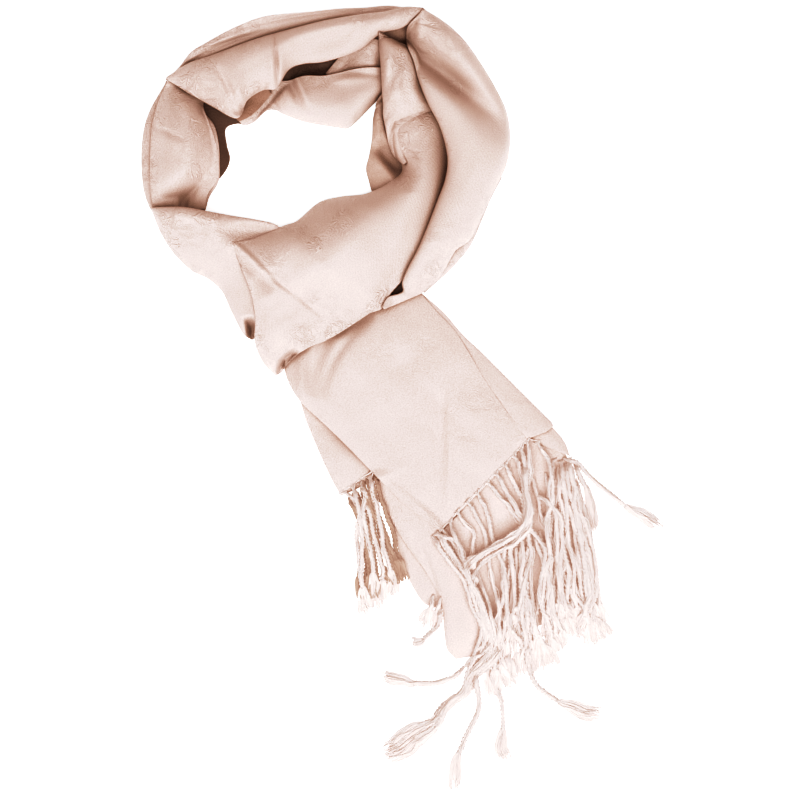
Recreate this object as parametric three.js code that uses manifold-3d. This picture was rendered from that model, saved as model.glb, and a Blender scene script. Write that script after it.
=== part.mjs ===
// A fringed pashmina stole, folded lengthwise, wound into a neck loop and laid flat.
// Millimetres, +Z up. The stole rests on z = 0, and the origin is the middle of its box at that surface.
// The loop lies towards +Y. Its two tails leave it towards -Y, one on the other, and end in twisted fringes.
//
// Each stretch of the wound cloth that shows is one node: its hidden layers share one rounded solid,
// which is lofted through the sections of a short table. Stretches are made from the bottom of the heap
// to the top, and each is cut by those that it lies on, with a hairline of clearance.
import * as THREE from "three";
import { mergeVertices } from "three/addons/utils/BufferGeometryUtils.js";
import Module from "manifold-3d";

const wasm = await Module();
wasm.setup();

// ---------------------------------------------------------------- driving sizes
const SEAM_GAP = 0.35; // clearance between two stretches that lie on each other
const EDGE_INSET = 0.09; // share of a section's width by which its underside is narrower than its top
const NARROWEST = 2.4; // least width of a section, at the pointed corner of a fold
const TOP_POINTS = 8; // points across the upper side of a section
const CORD_RADIUS = 2.3; // half the thickness of a twisted fringe cord
const TUFT_SHARE = 0.34; // share of a cord's length that is loose
const CORD_SIDES = 6; // so that a cord is flat where it rests
const CORD_STEPS = 8;
const LEAST_VOLUME = 20; // mm3; crumbs smaller than this, left by a cut, are dropped

// ---------------------------------------------------------------- colours
const BLUSH = new THREE.Color("#e6cfc4");
const PALE_BLUSH = new THREE.Color("#eedcd2");

// A section runs across the cloth from its outer edge to its inner edge, seen from above.
// outerZ and innerZ are the heights of its two folded edges, crown is how far its middle rises above
// the straight line between them, and under is the height of its underside.
const SECTION = ["outerX", "outerY", "innerX", "innerY", "outerZ", "innerZ", "crown", "under"];

// ---------------------------------------------------------------- the tails
const TAIL_BACK_UNDER = [
  [-28, -78, 30, -55, 1.6, 1.6, 1.0, 0],
  [-14, -115, 50, -95, 1.6, 1.6, 1.0, 0],
  [-4, -145, 65, -125, 1.6, 1.6, 1.0, 0],
  [6, -175, 80, -160, 1.6, 1.6, 1.0, 0],
  [20, -203, 90, -190, 1.6, 1.6, 1.0, 0],
  [32, -210, 92, -198, 1.6, 1.6, 0.8, 0],
];
const TAIL_BACK = [
  [-55, 0, 80, 20, 3.5, 3.5, 2.0, 0],
  [-38, -40, 130, -20, 3.5, 3.5, 2.5, 0],
  [-18, -86, 166, -47, 3.5, 3.5, 3.0, 0],
  [6, -134, 175, -95, 3.5, 3.5, 3.0, 0],
  [31, -173, 186, -130, 3.5, 3.5, 3.0, 0],
  [48, -204, 192, -160, 3.5, 3.5, 3.0, 0],
  [54, -240, 195, -190, 3.5, 3.5, 2.6, 0],
  [60, -254, 196, -203, 3.0, 3.0, 2.4, 0],
];
const TAIL_BACK_FOLD = [
  [-16, -100, 2, -92, 6, 6, 1.5, 0],
  [0, -137, 28, -124, 7, 7, 4.0, 0],
  [25, -176, 55, -162, 7, 8, 6.0, 0],
  [40, -203, 72, -194, 7, 8, 8.0, 0],
  [44, -230, 80, -222, 7, 8, 8.5, 0],
  [48, -250, 78, -245, 6, 7, 6.0, 0],
  [57, -258, 66, -257, 4, 4, 2.0, 0],
];
const TAIL_LEFT = [
  [-100, 0, -60, 15, 4, 4, 3.0, 0],
  [-92, -20, -48, -2, 4, 4, 3.0, 0],
  [-86, -40, -32, -25, 4, 4, 3.0, 0],
  [-75, -63, -18, -45, 4, 4, 2.6, 0],
  [-68, -80, -8, -62, 3.5, 3.5, 2.4, 0],
  [-61, -96, 2, -66, 3, 3, 2.0, 0],
];
const TAIL_FRONT_UNDER = [
  [10, 60, 61, 67, 6, 6, 1.5, 0],
  [35, 30, 80, 48, 6, 6, 1.5, 0],
  [55, 5, 100, 27, 6, 6, 1.5, 0],
  [75, -15, 120, 7, 6, 6, 1.5, 0],
  [92, -32, 136, -11, 6, 6, 1.5, 0],
  [108, -48, 150, -26, 6, 6, 1.5, 0],
  [128, -56, 162, -41, 5.5, 5.5, 1.5, 0],
  [150, -62, 174, -58, 5, 5, 1.2, 0],
];
const TAIL_FRONT = [
  [-110, 55, 0, 125, 12, 14, 9, 0],
  [-111, 34, 21, 106, 11, 12, 12, 0],
  [-108, 17, 40, 88, 10, 11, 11, 0],
  [-100, -1, 59, 68, 9, 10, 9, 0],
  [-84, -18, 75, 45, 9, 9, 7, 0],
  [-60, -40, 90, 15, 9, 9, 5, 0],
  [-30, -70, 107, -9, 9, 9, 4, 0],
  [2, -101, 120, -27, 9, 9, 3.4, 0],
  [38, -132, 125, -45, 9, 9, 3, 0],
];

// ---------------------------------------------------------------- the loop, lower wrap
const TOP_UNDER = [
  [-235, 319, -215, 305, 14, 8, 2, 0],
  [-222, 330, -200, 310, 16, 8, 6, 0],
  [-210, 345, -185, 312, 18, 7, 10, 0],
  [-195, 354, -165, 315, 18, 6, 12, 0],
  [-175, 364, -145, 320, 18, 6, 13, 0],
  [-155, 373, -125, 322, 18, 5, 14, 0],
  [-138, 380, -110, 322, 18, 5, 14, 0],
  [-115, 384, -95, 324, 18, 5, 14, 0],
  [-90, 386, -70, 326, 18, 5, 14, 0],
  [-65, 389, -50, 326, 18, 5, 13, 0],
  [-40, 391, -32, 328, 18, 5, 12, 0],
  [-15, 393, -10, 340, 18, 6, 10, 0],
  [3, 391, 8, 355, 18, 8, 7, 0],
  [14, 389, 17, 374, 18, 12, 3, 0],
];
const LEFT_UNDER = [
  [-235, 317, -220, 310, 10, 10, 1, 0],
  [-243, 305, -222, 297, 9, 10, 4, 0],
  [-252, 291, -225, 285, 8, 10, 6, 0],
  [-258, 274, -225, 270, 8, 10, 8, 0],
  [-261, 252, -228, 250, 8, 10, 8, 0],
  [-261, 228, -228, 228, 8, 10, 8, 0],
  [-259, 210, -226, 210, 8, 10, 7, 0],
  [-253, 194, -224, 194, 8, 10, 5, 0],
  [-246, 184, -225, 180, 8, 9, 2, 0],
];
const LEFT_INNER = [
  [-122, 325, -132, 295, 8, 5, 4, 0],
  [-145, 315, -150, 274, 8, 5, 5, 0],
  [-175, 305, -167, 277, 8, 5, 5, 0],
  [-195, 288, -176, 270, 8, 4, 5, 0],
  [-202, 260, -174, 254, 8, 4, 5, 0],
  [-202, 240, -170, 240, 8, 4, 6, 0],
  [-205, 220, -178, 223, 8, 4, 5, 0],
  [-212, 204, -192, 203, 8, 4, 5, 0],
  [-216, 186, -194, 186, 8, 4, 3, 0],
];
const RIGHT_UNDER = [
  [99, 222, 70, 235, 8, 9, 3, 0],
  [87, 202, 60, 215, 8, 9, 6, 0],
  [81, 183, 50, 195, 8, 9, 8, 0],
  [69, 156, 40, 175, 8, 9, 8, 0],
  [55, 137, 25, 155, 8, 9, 8, 0],
  [39, 122, 12, 138, 8, 9, 7, 0],
  [22, 107, 0, 120, 8, 9, 5, 0],
];
const INNER_TOP = [
  [-138, 315, -138, 288, 10, 8, 3, 0],
  [-117, 322, -117, 283, 18, 8, 8, 0],
  [-95, 327, -90, 278, 20, 8, 10, 0],
  [-70, 330, -70, 275, 20, 8, 11, 0],
  [-50, 331, -54, 271, 20, 8, 12, 0],
  [-32, 332, -38, 283, 20, 8, 12, 0],
  [-12, 334, -20, 300, 18, 9, 8, 0],
  [0, 330, -8, 302, 14, 10, 3, 0],
];
const INNER_RIGHT_LOW = [
  [0, 296, -23, 296, 10, 8, 4, 0],
  [2, 280, -27, 280, 10, 7, 6, 0],
  [5, 262, -29, 262, 10, 7, 7, 0],
  [8, 245, -32, 244, 10, 7, 7, 0],
  [12, 230, -34, 231, 10, 7, 7, 0],
  [8, 217, -30, 218, 10, 7, 6, 0],
  [0, 205, -27, 206, 9, 7, 3, 0],
];
const INNER_RIGHT = [
  [4, 362, -19, 366, 12, 12, 4, 0],
  [15, 345, -21, 350, 22, 18, 12, 0],
  [25, 325, -20, 326, 24, 20, 14, 0],
  [32, 305, -18, 304, 24, 20, 14, 0],
  [38, 290, -14, 286, 22, 18, 12, 0],
  [22, 283, -13, 275, 20, 16, 9, 0],
  [6, 274, -12, 264, 18, 16, 7, 0],
  [3, 256, -8, 250, 16, 14, 5, 0],
  [4, 236, 0, 234, 14, 12, 3, 0],
];

// ---------------------------------------------------------------- the loop, upper wrap
const LEFT_FOLD = [
  [-230, 322, -185, 308, 14, 12, 4, 0],
  [-234, 316, -197, 294, 16, 14, 12, 0],
  [-242, 300, -191, 276, 16, 16, 22, 0],
  [-249, 275, -186, 258, 16, 16, 28, 0],
  [-250, 245, -184, 240, 16, 16, 30, 0],
  [-250, 215, -187, 220, 16, 16, 26, 0],
  [-248, 196, -193, 202, 15, 14, 16, 0],
  [-244, 182, -195, 184, 12, 12, 4, 0],
];
const TOP_BAND = [
  [-234, 321, -232, 318, 24, 24, 1, 12],
  [-215, 332, -214, 307, 30, 26, 8, 8],
  [-195, 339, -190, 293, 32, 28, 12, 6],
  [-173, 348, -164, 281, 33, 28, 14, 6],
  [-157, 353, -155, 300, 34, 28, 14, 6],
  [-142, 359, -140, 312, 34, 28, 14, 6],
  [-128, 363, -123, 310, 34, 28, 14, 6],
  [-113, 367, -114, 327, 35, 29, 14, 6],
  [-98, 371, -100, 334, 35, 30, 13, 6],
  [-78, 376, -80, 336, 35, 30, 13, 6],
  [-55, 380, -58, 342, 36, 31, 12, 6],
  [-35, 383, -40, 349, 36, 32, 11, 6],
  [-17, 385, -22, 363, 38, 34, 9, 6],
  [2, 389, 0, 369, 41, 38, 6, 10],
  [20, 388, 19, 384, 44, 44, 1, 20],
];
const LOWER_WRAP = [
  [-249, 190, -245, 192, 22, 22, 1, 10],
  [-243, 174, -220, 192, 16, 26, 10, 0],
  [-235, 159, -194, 189, 14, 28, 14, 0],
  [-224, 143, -168, 185, 14, 28, 16, 0],
  [-210, 130, -144, 180, 14, 28, 16, 0],
  [-194, 122, -124, 173, 14, 28, 16, 0],
  [-181, 112, -110, 155, 14, 30, 14, 0],
  [-172, 94, -98, 122, 14, 28, 12, 0],
  [-165, 78, -108, 92, 14, 24, 10, 0],
  [-158, 67, -128, 76, 12, 16, 5, 0],
  [-151, 62, -144, 66, 10, 10, 2, 0],
];
const FRONT_WRAP = [
  [37, 300, 2, 300, 12, 10, 3, 0],
  [40, 278, 2, 278, 16, 14, 10, 0],
  [52, 250, 4, 250, 20, 16, 14, 0],
  [50, 224, 3, 229, 24, 18, 16, 0],
  [43, 198, -14, 217, 28, 20, 16, 0],
  [33, 172, -35, 206, 28, 22, 18, 0],
  [23, 148, -60, 203, 28, 22, 20, 0],
  [10, 118, -82, 196, 26, 24, 22, 0],
  [-7, 101, -103, 179, 24, 26, 22, 0],
  [-28, 86, -122, 172, 22, 30, 20, 0],
  [-48, 73, -145, 161, 20, 34, 17, 0],
  [-65, 65, -164, 156, 18, 38, 14, 0],
  [-78, 60, -158, 132, 18, 36, 13, 0],
  [-89, 56, -149, 106, 18, 32, 12, 0],
  [-98, 51, -144, 81, 18, 26, 12, 0],
  [-106, 46, -145, 59, 17, 20, 10, 0],
  [-113, 39, -138, 38, 15, 15, 8, 0],
  [-119, 29, -126, 24, 12, 12, 3, 0],
];
const RIGHT_WRAP = [
  [21, 388, 19, 384, 44, 44, 1, 30],
  [40, 376, 14, 362, 30, 34, 14, 0],
  [60, 359, 5, 352, 20, 36, 22, 0],
  [78, 334, 12, 336, 16, 34, 26, 0],
  [94, 307, 17, 316, 14, 34, 28, 0],
  [103, 285, 26, 294, 14, 36, 28, 0],
  [106, 260, 38, 270, 14, 38, 26, 0],
  [103, 235, 46, 242, 14, 40, 24, 0],
  [94, 212, 44, 220, 14, 40, 22, 0],
  [83, 189, 36, 198, 14, 38, 20, 0],
  [68, 166, 25, 172, 14, 36, 18, 0],
  [52, 150, 15, 149, 14, 34, 15, 0],
  [36, 128, 5, 128, 14, 32, 12, 0],
  [20, 107, 1, 110, 14, 28, 8, 0],
  [5, 100, -10, 98, 16, 22, 4, 10],
];

// ---------------------------------------------------------------- the fringes, as plain solids of their reach
const FRINGE_LEFT = [
  [-61, -96, -26, -74, 3, 3, 2, 0],
  [-48, -120, -16, -105, 3, 3, 2, 0],
  [-42, -150, -6, -140, 3, 3, 2, 0],
  [-40, -185, 0, -175, 3, 3, 2, 0],
  [-36, -214, -12, -214, 3, 3, 1, 0],
];
const FRINGE_BACK = [
  [60, -255, 197, -204, 3, 3, 2, 0],
  [66, -280, 208, -236, 3, 3, 2, 0],
  [84, -298, 214, -258, 3, 3, 1, 0],
];
const FRINGE_FRONT = [
  [39, -133, 126, -46, 9, 9, 3, 0],
  [54, -160, 156, -78, 9, 9, 3, 0],
  [66, -190, 175, -118, 9, 9, 3, 0],
  [76, -215, 184, -158, 9, 9, 3, 0],
  [84, -238, 190, -190, 8, 8, 3, 0],
  [94, -258, 190, -222, 6, 6, 3, 0],
];

// Fringe cords that stray from the rest: half the width of the twisted cord and of its loose end, and the
// points on the floor that it passes over.
const STRAY_CORDS = {
  cord_right_long: { half: 2.3, loose: 5, path: [[162, -59], [188, -76], [219, -103], [259, -131]] },
  cord_right_short: { half: 2.3, loose: 5, path: [[173, -66], [183, -94], [190, -113], [195, -133]] },
  cord_left_small: { half: 2.3, loose: 4, path: [[38, -210], [35, -225], [22, -239], [3, -245]] },
  cord_left_long: { half: 2.3, loose: 5, path: [[62, -268], [38, -281], [8, -283], [-24, -276]] },
  cord_bundle: { half: 7, loose: 10, path: [[74, -266], [52, -294], [22, -325], [-20, -354]] },
  cord_low_left: { half: 2.5, loose: 6, path: [[74, -284], [76, -310], [58, -345], [54, -391]] },
  cord_low_middle: { half: 2.3, loose: 7, path: [[90, -284], [99, -306], [101, -338], [102, -362]] },
  cord_low_right: { half: 2.3, loose: 7, path: [[124, -268], [134, -288], [160, -306], [201, -316]] },
};

// ---------------------------------------------------------------- shapes
// Joins closed rings of points into one closed surface, with a flat fan on the first and the last ring.
function skin(rings) {
  const count = rings[0].length;
  const points = rings.flat();
  const faces = [];
  for (let s = 0; s + 1 < rings.length; s++) {
    for (let k = 0; k < count; k++) {
      const a = s * count + k;
      const b = s * count + ((k + 1) % count);
      faces.push([a, b, b + count], [a, b + count, a + count]);
    }
  }
  [0, rings.length - 1].forEach((s, end) => {
    const centre = rings[s].reduce((sum, p) => sum.add(p), new THREE.Vector3()).divideScalar(count);
    points.push(centre);
    for (let k = 0; k < count; k++) {
      const a = s * count + k;
      const b = s * count + ((k + 1) % count);
      faces.push(end ? [a, b, points.length - 1] : [b, a, points.length - 1]);
    }
  });
  const geometry = new THREE.BufferGeometry().setFromPoints(points);
  geometry.setIndex(faces.flat());
  return geometry;
}

// A geometry as a solid, facing out whichever way round its rings were given.
function solidOf(geometry) {
  const merged = mergeVertices(geometry, 1e-3);
  const triVerts = new Uint32Array(merged.index.array);
  const make = () =>
    new wasm.Manifold(
      new wasm.Mesh({ numProp: 3, vertProperties: merged.attributes.position.array, triVerts }),
    );
  const made = make();
  if (made.volume() > 0) return made;
  for (let i = 0; i < triVerts.length; i += 3) {
    [triVerts[i + 1], triVerts[i + 2]] = [triVerts[i + 2], triVerts[i + 1]];
  }
  return make();
}

// One value of the table, carried smoothly through its rows: a Catmull-Rom curve in the row number.
function smoothColumns(rows, names) {
  const index = names.map((name) => SECTION.indexOf(name));
  const curve = new THREE.CatmullRomCurve3(
    rows.map((row) => new THREE.Vector3(...index.map((i) => row[i]))),
    false,
    "catmullrom",
  );
  return (share) => curve.getPoint(share);
}

// The rings of a stretch. Across a section the upper side is half an ellipse between the two edges, the
// underside is flat, and grow moves every side outwards, which makes the tool that cuts what lies above.
function stretchRings(rows, stepsPerRow, grow = 0) {
  const outerAt = smoothColumns(rows, ["outerX", "outerY", "outerZ"]);
  const innerAt = smoothColumns(rows, ["innerX", "innerY", "innerZ"]);
  const riseAt = smoothColumns(rows, ["crown", "under", "under"]);
  const steps = (rows.length - 1) * stepsPerRow;
  const rings = [];
  for (let s = 0; s <= steps; s++) {
    const outer = outerAt(s / steps);
    const inner = innerAt(s / steps);
    const { x: crown, y: under } = riseAt(s / steps);
    const floor = Math.max(0, under) - grow;
    const across = new THREE.Vector3().subVectors(inner, outer);
    const width = Math.max(Math.hypot(across.x, across.y), NARROWEST);
    across.setLength(Math.max(across.length(), NARROWEST));
    outer.addScaledVector(across, -grow / width);
    across.multiplyScalar(1 + (2 * grow) / width);
    const ring = [];
    for (let k = 0; k <= TOP_POINTS; k++) {
      const turn = (Math.PI * k) / TOP_POINTS;
      const p = outer.clone().addScaledVector(across, (1 - Math.cos(turn)) / 2);
      p.z = Math.max(p.z + (Math.max(crown, 0) + grow) * Math.sin(turn) ** 0.8, floor + 0.6);
      ring.push(p);
    }
    for (const share of [1 - EDGE_INSET, 0.5, EDGE_INSET]) {
      const p = outer.clone().addScaledVector(across, share);
      ring.push(p.setZ(floor));
    }
    rings.push(ring);
  }
  return rings;
}

// Moves the first and the last ring along the cloth, so that a cutting tool is longer as well.
function lengthen(rings, by) {
  const push = (ring, from) => {
    const middle = (r) => r.reduce((sum, p) => sum.add(p), new THREE.Vector3()).divideScalar(r.length);
    const away = middle(ring).sub(middle(from)).setZ(0).setLength(by);
    ring.forEach((p) => p.add(away));
  };
  push(rings[0], rings[1]);
  push(rings.at(-1), rings.at(-2));
  return rings;
}

// The rings of a fringe cord on the floor: round where it is twisted, wider where its end is loose.
function cordRings({ half, loose, path }, grow = 0) {
  const curve = new THREE.CatmullRomCurve3(path.map(([x, y]) => new THREE.Vector3(x, y, 0)));
  const rings = [];
  for (let s = 0; s <= CORD_STEPS; s++) {
    const share = s / CORD_STEPS;
    const centre = curve.getPoint(share);
    const side = curve.getTangent(share).cross(new THREE.Vector3(0, 0, 1)).normalize();
    const frayed = THREE.MathUtils.smoothstep(share, 1 - TUFT_SHARE, 1 - TUFT_SHARE / 2);
    const reach = THREE.MathUtils.lerp(half, loose, frayed) + grow;
    const ring = [];
    for (let k = 0; k < CORD_SIDES; k++) {
      const turn = (2 * Math.PI * k) / CORD_SIDES;
      const p = centre.clone().addScaledVector(side, reach * Math.cos(turn));
      const height = ((CORD_RADIUS + grow) * Math.sin(turn)) / Math.cos(Math.PI / CORD_SIDES);
      ring.push(p.setZ(CORD_RADIUS + height));
    }
    rings.push(ring);
  }
  return rings;
}

// ---------------------------------------------------------------- the heap, from the bottom up
const stole = new THREE.Group();
const tools = []; // each stretch already laid down, grown by the seam gap

function lay(name, rings, grownRings, colour) {
  let solid = solidOf(skin(rings));
  for (const tool of tools) solid = solid.subtract(tool);
  const pieces = solid.decompose().filter((piece) => piece.volume() > LEAST_VOLUME);
  solid = pieces.reduce((most, piece) => (piece.volume() > most.volume() ? piece : most));
  tools.push(solidOf(skin(lengthen(grownRings, SEAM_GAP))));
  const made = solid.getMesh();
  const positions = new Float32Array(made.numVert * 3);
  for (let i = 0; i < made.numVert; i++) {
    positions.set(made.vertProperties.subarray(i * made.numProp, i * made.numProp + 3), i * 3);
  }
  const geometry = new THREE.BufferGeometry();
  geometry.setAttribute("position", new THREE.BufferAttribute(positions, 3));
  geometry.setIndex(new THREE.BufferAttribute(made.triVerts, 1));
  geometry.computeVertexNormals();
  const material = new THREE.MeshStandardMaterial({ color: colour, roughness: 0.6, metalness: 0 });
  const mesh = new THREE.Mesh(geometry, material);
  mesh.name = name;
  stole.add(mesh);
}

function layStretch(name, rows, stepsPerRow, colour = BLUSH) {
  lay(name, stretchRings(rows, stepsPerRow), stretchRings(rows, stepsPerRow, SEAM_GAP), colour);
}

layStretch("tail_back_under", TAIL_BACK_UNDER, 1);
layStretch("tail_back", TAIL_BACK, 1);
layStretch("tail_back_fold", TAIL_BACK_FOLD, 1);
layStretch("tail_left", TAIL_LEFT, 1);
layStretch("tail_front_under", TAIL_FRONT_UNDER, 1);
layStretch("tail_front", TAIL_FRONT, 1);
layStretch("fringe_left", FRINGE_LEFT, 1, PALE_BLUSH);
layStretch("fringe_back", FRINGE_BACK, 1, PALE_BLUSH);
layStretch("fringe_front", FRINGE_FRONT, 1, PALE_BLUSH);
layStretch("loop_top_under", TOP_UNDER, 1);
layStretch("loop_left_under", LEFT_UNDER, 1);
layStretch("loop_left_inner", LEFT_INNER, 1);
layStretch("loop_right_under", RIGHT_UNDER, 1);
layStretch("loop_inner_top", INNER_TOP, 1);
layStretch("loop_inner_right_low", INNER_RIGHT_LOW, 1);
layStretch("loop_inner_right", INNER_RIGHT, 2);
layStretch("loop_left", LEFT_FOLD, 1);
layStretch("loop_top", TOP_BAND, 1);
layStretch("loop_lower", LOWER_WRAP, 1);
layStretch("loop_front", FRONT_WRAP, 1);
layStretch("loop_right", RIGHT_WRAP, 1);
for (const [name, cord] of Object.entries(STRAY_CORDS)) {
  lay(name, cordRings(cord), cordRings(cord, SEAM_GAP), PALE_BLUSH);
}

export default stole;
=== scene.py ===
"""A fringed pashmina stole, folded lengthwise, wound into a neck loop and laid flat.

The cloth is laid down stretch by stretch, from the bottom of the heap to the top. Each stretch is a
tube-like skin carried through the sections of a short table, and it drapes over the heights of what
already lies below it. The fringe is laid last, cord by cord, in the same way. Tables are in
millimetres, in the model's frame; meshes are in metres.
"""

from __future__ import annotations

import logging
import math
from dataclasses import dataclass, field
from enum import Enum

import bpy
import numpy as np
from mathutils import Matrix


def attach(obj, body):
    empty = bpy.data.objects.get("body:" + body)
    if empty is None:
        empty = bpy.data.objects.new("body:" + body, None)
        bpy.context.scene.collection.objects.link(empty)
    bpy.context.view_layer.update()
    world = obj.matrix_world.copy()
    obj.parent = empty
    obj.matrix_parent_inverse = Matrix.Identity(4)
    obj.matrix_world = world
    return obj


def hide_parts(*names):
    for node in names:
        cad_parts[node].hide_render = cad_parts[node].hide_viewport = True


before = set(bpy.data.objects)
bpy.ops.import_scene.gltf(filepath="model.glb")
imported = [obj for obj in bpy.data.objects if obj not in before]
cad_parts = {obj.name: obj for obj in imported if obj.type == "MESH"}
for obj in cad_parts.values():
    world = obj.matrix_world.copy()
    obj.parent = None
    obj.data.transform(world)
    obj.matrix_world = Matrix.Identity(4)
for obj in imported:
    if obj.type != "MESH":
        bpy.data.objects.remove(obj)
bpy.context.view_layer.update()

log = logging.getLogger("stole")

MM = 0.001
TINY = 1e-9  # keeps a division by a length from failing

Array = np.ndarray
Material = bpy.types.Material
Piece = bpy.types.Object
Socket = bpy.types.NodeSocket
Value = Socket | float
Row = tuple[float, ...]


# ---------------------------------------------------------------- tables with named columns
def columns(*names: str) -> np.dtype:
    """Returns a table row type whose columns have these names."""
    return np.dtype([(name, float) for name in names])


# A section runs across the cloth from its outer folded edge to its inner one, seen from above.
# outer_z and inner_z are the heights of those edges, crown is how far the middle rises above the line
# between them, and under is the height of the underside, 0 where a row leaves it out.
SECTION = columns("outer_x", "outer_y", "inner_x", "inner_y", "outer_z", "inner_z", "crown", "under")

# A crease is a soft trough along a bowed line, or a ridge where its depth is negative. bow is how far
# the line's middle stands off to its left.
CREASE = columns("x0", "y0", "x1", "y1", "bow", "width", "depth")

# The print tone: how bright green and blue come out where the light has this level.
GRADE = columns("level", "green", "blue")


def table(kind: np.dtype, rows: list[Row]) -> Array:
    """Lines rows of numbers up under a kind's named columns; those that a row leaves out are 0."""
    return np.array([(*row, *(0.0,) * (len(kind) - len(row))) for row in rows], kind)


# ---------------------------------------------------------------- curves, noise and creases
def through_rows(values: Array, at: Array) -> Array:
    """Carries table values smoothly through their rows, on a Catmull-Rom curve in the row number.

    Args:
        values: One line for each row.
        at: Row numbers, whole or not.

    Returns:
        One line for each entry of at.
    """
    wide = np.vstack([2 * values[0] - values[1], values, 2 * values[-1] - values[-2]])
    i = np.clip(at.astype(int), 0, len(values) - 2)
    t = (at - i)[:, None]
    a, b, c, d = (wide[i + k] for k in range(4))
    return b + 0.5 * t * (c - a + t * (2 * a - 5 * b + 4 * c - d + t * (3 * (b - c) + d - a)))


def even_rows(places: Array, spacing: float) -> Array:
    """Finds row numbers that lie evenly along the curve through some places.

    Args:
        places: One place for each row.
        spacing: The distance wanted between neighbours.

    Returns:
        Row numbers from the first row to the last.
    """
    fine, fewest = 40, 6
    dense = np.linspace(0, len(places) - 1, fine * (len(places) - 1) + 1)
    steps = np.linalg.norm(np.diff(through_rows(places, dense), axis=0), axis=1)
    run = np.concatenate([[0], np.cumsum(steps)])
    count = max(fewest, math.ceil(run[-1] / spacing))
    return np.interp(np.linspace(0, run[-1], count + 1), run, dense)


def unit(lines: Array) -> Array:
    """Scales each direction to length 1."""
    return lines / (np.linalg.norm(lines, axis=-1, keepdims=True) + TINY)


def rightward(path: Array) -> Array:
    """Returns, for each point of a path seen from above, the direction to its right."""
    ahead = unit(np.gradient(path, axis=0))
    return np.stack([ahead[:, 1], -ahead[:, 0]], axis=1)


def soft_noise(u: Array, v: Array, seed: int) -> Array:
    """Value noise: seeded heights on a square lattice, joined by the cubic step t * t * (3 - 2 * t).

    Args:
        u: Lattice coordinate along.
        v: Lattice coordinate across.
        seed: Which lattice.

    Returns:
        Heights between -1 and 1.
    """
    size = 61
    lattice = np.random.default_rng(seed).uniform(-1, 1, (size, size))
    i, j = np.floor(u).astype(int), np.floor(v).astype(int)
    a, b = u - i, v - j
    a, b = a * a * (3 - 2 * a), b * b * (3 - 2 * b)
    i, j, k, m = i % size, j % size, (i + 1) % size, (j + 1) % size
    near = lattice[i, j] * (1 - a) + lattice[k, j] * a
    far = lattice[i, m] * (1 - a) + lattice[k, m] * a
    return near * (1 - b) + far * b


def crease_depth(x: Array, y: Array, creases: Array) -> Array:
    """Adds up how far creases press a surface down, seen from above.

    A crease follows a parabola from its first end to its last. Across it the depth falls off as
    exp(-(distance / width) ** 2), and along it as a half sine to the power 0.8.

    Args:
        x: Places, across the table.
        y: Places, up the table.
        creases: Rows of CREASE.

    Returns:
        Depths at the places.
    """
    depth = np.zeros(x.shape)
    for c in creases:
        run = np.array([c["x1"] - c["x0"], c["y1"] - c["y0"]])
        length = np.hypot(*run)
        run /= length
        dx, dy = x - c["x0"], y - c["y0"]
        share = np.clip((dx * run[0] + dy * run[1]) / length, 0, 1)
        off = dy * run[0] - dx * run[1] - 4 * c["bow"] * share * (1 - share)
        past = (dx * run[0] + dy * run[1]) - share * length
        fall = np.exp(-(off**2 + past**2) / c["width"] ** 2)
        depth += c["depth"] * fall * np.sin(np.pi * share).clip(0, 1) ** 0.8
    return depth


# ---------------------------------------------------------------- the heap that the cloth is laid on
class Heap:
    """The heights of all that is laid down so far, on a grid of one millimetre seen from above."""

    low_x, low_y, cells_x, cells_y = -310, -430, 620, 860

    def __init__(self) -> None:
        """Starts with the bare table, at height 0."""
        self.height = np.zeros((self.cells_x, self.cells_y))

    def sample(self, height: Array, x: Array, y: Array) -> Array:
        """Reads a height grid between its cells, by straight blending both ways.

        Args:
            height: The grid.
            x: Places, across the table.
            y: Places, up the table.

        Returns:
            Heights at the places.
        """
        last = 1.001  # just inside the last cell
        u = np.clip(x - self.low_x, 0, self.cells_x - last)
        v = np.clip(y - self.low_y, 0, self.cells_y - last)
        i, j = u.astype(int), v.astype(int)
        a, b = u - i, v - j
        near = height[i, j] * (1 - a) + height[i + 1, j] * a
        far = height[i, j + 1] * (1 - a) + height[i + 1, j + 1] * a
        return near * (1 - b) + far * b

    def softened(self, reach: int) -> Array:
        """Spreads the heap's steps out, as cloth does that bridges from a high edge to the table.

        Args:
            reach: How many millimetres a step is spread over.

        Returns:
            A height grid that is nowhere lower than the heap.
        """
        shifts = range(-reach, reach + 1)
        out = self.height
        for axis in (0, 1):
            out = np.maximum.reduce([np.roll(out, s, axis) for s in shifts])
        for axis in (0, 1):
            out = sum(np.roll(out, s, axis) for s in shifts) / len(shifts)
        return np.maximum(out, self.height)

    def lay(self, points: Array) -> None:
        """Raises the heap to a surface.

        Args:
            points: A grid of points, at most about 2 mm apart.
        """
        a, b = points[:-1, :-1], points[1:, :-1]
        c, d = points[:-1, 1:], points[1:, 1:]
        thirds = (0, 1 / 3, 2 / 3, 1)
        for s in thirds:
            for t in thirds:
                p = (a * (1 - s) + b * s) * (1 - t) + (c * (1 - s) + d * s) * t
                i = np.clip(np.rint(p[..., 0] - self.low_x).astype(int), 0, self.cells_x - 1)
                j = np.clip(np.rint(p[..., 1] - self.low_y).astype(int), 0, self.cells_y - 1)
                np.maximum.at(self.height, (i, j), p[..., 2])


# ---------------------------------------------------------------- meshes
def tube_faces(rings: int, around: int, start: int = 0) -> Array:
    """Lists the quads between neighbouring rings of a tube.

    Args:
        rings: How many rings.
        around: Points on a ring.
        start: Number of the first point.

    Returns:
        One line of four point numbers for each quad.
    """
    s, k = np.meshgrid(np.arange(rings - 1), np.arange(around), indexing="ij")
    a = start + s * around + k
    b = start + s * around + (k + 1) % around
    return np.stack([a, b, b + around, a + around], axis=-1).reshape(-1, 4)


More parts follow.
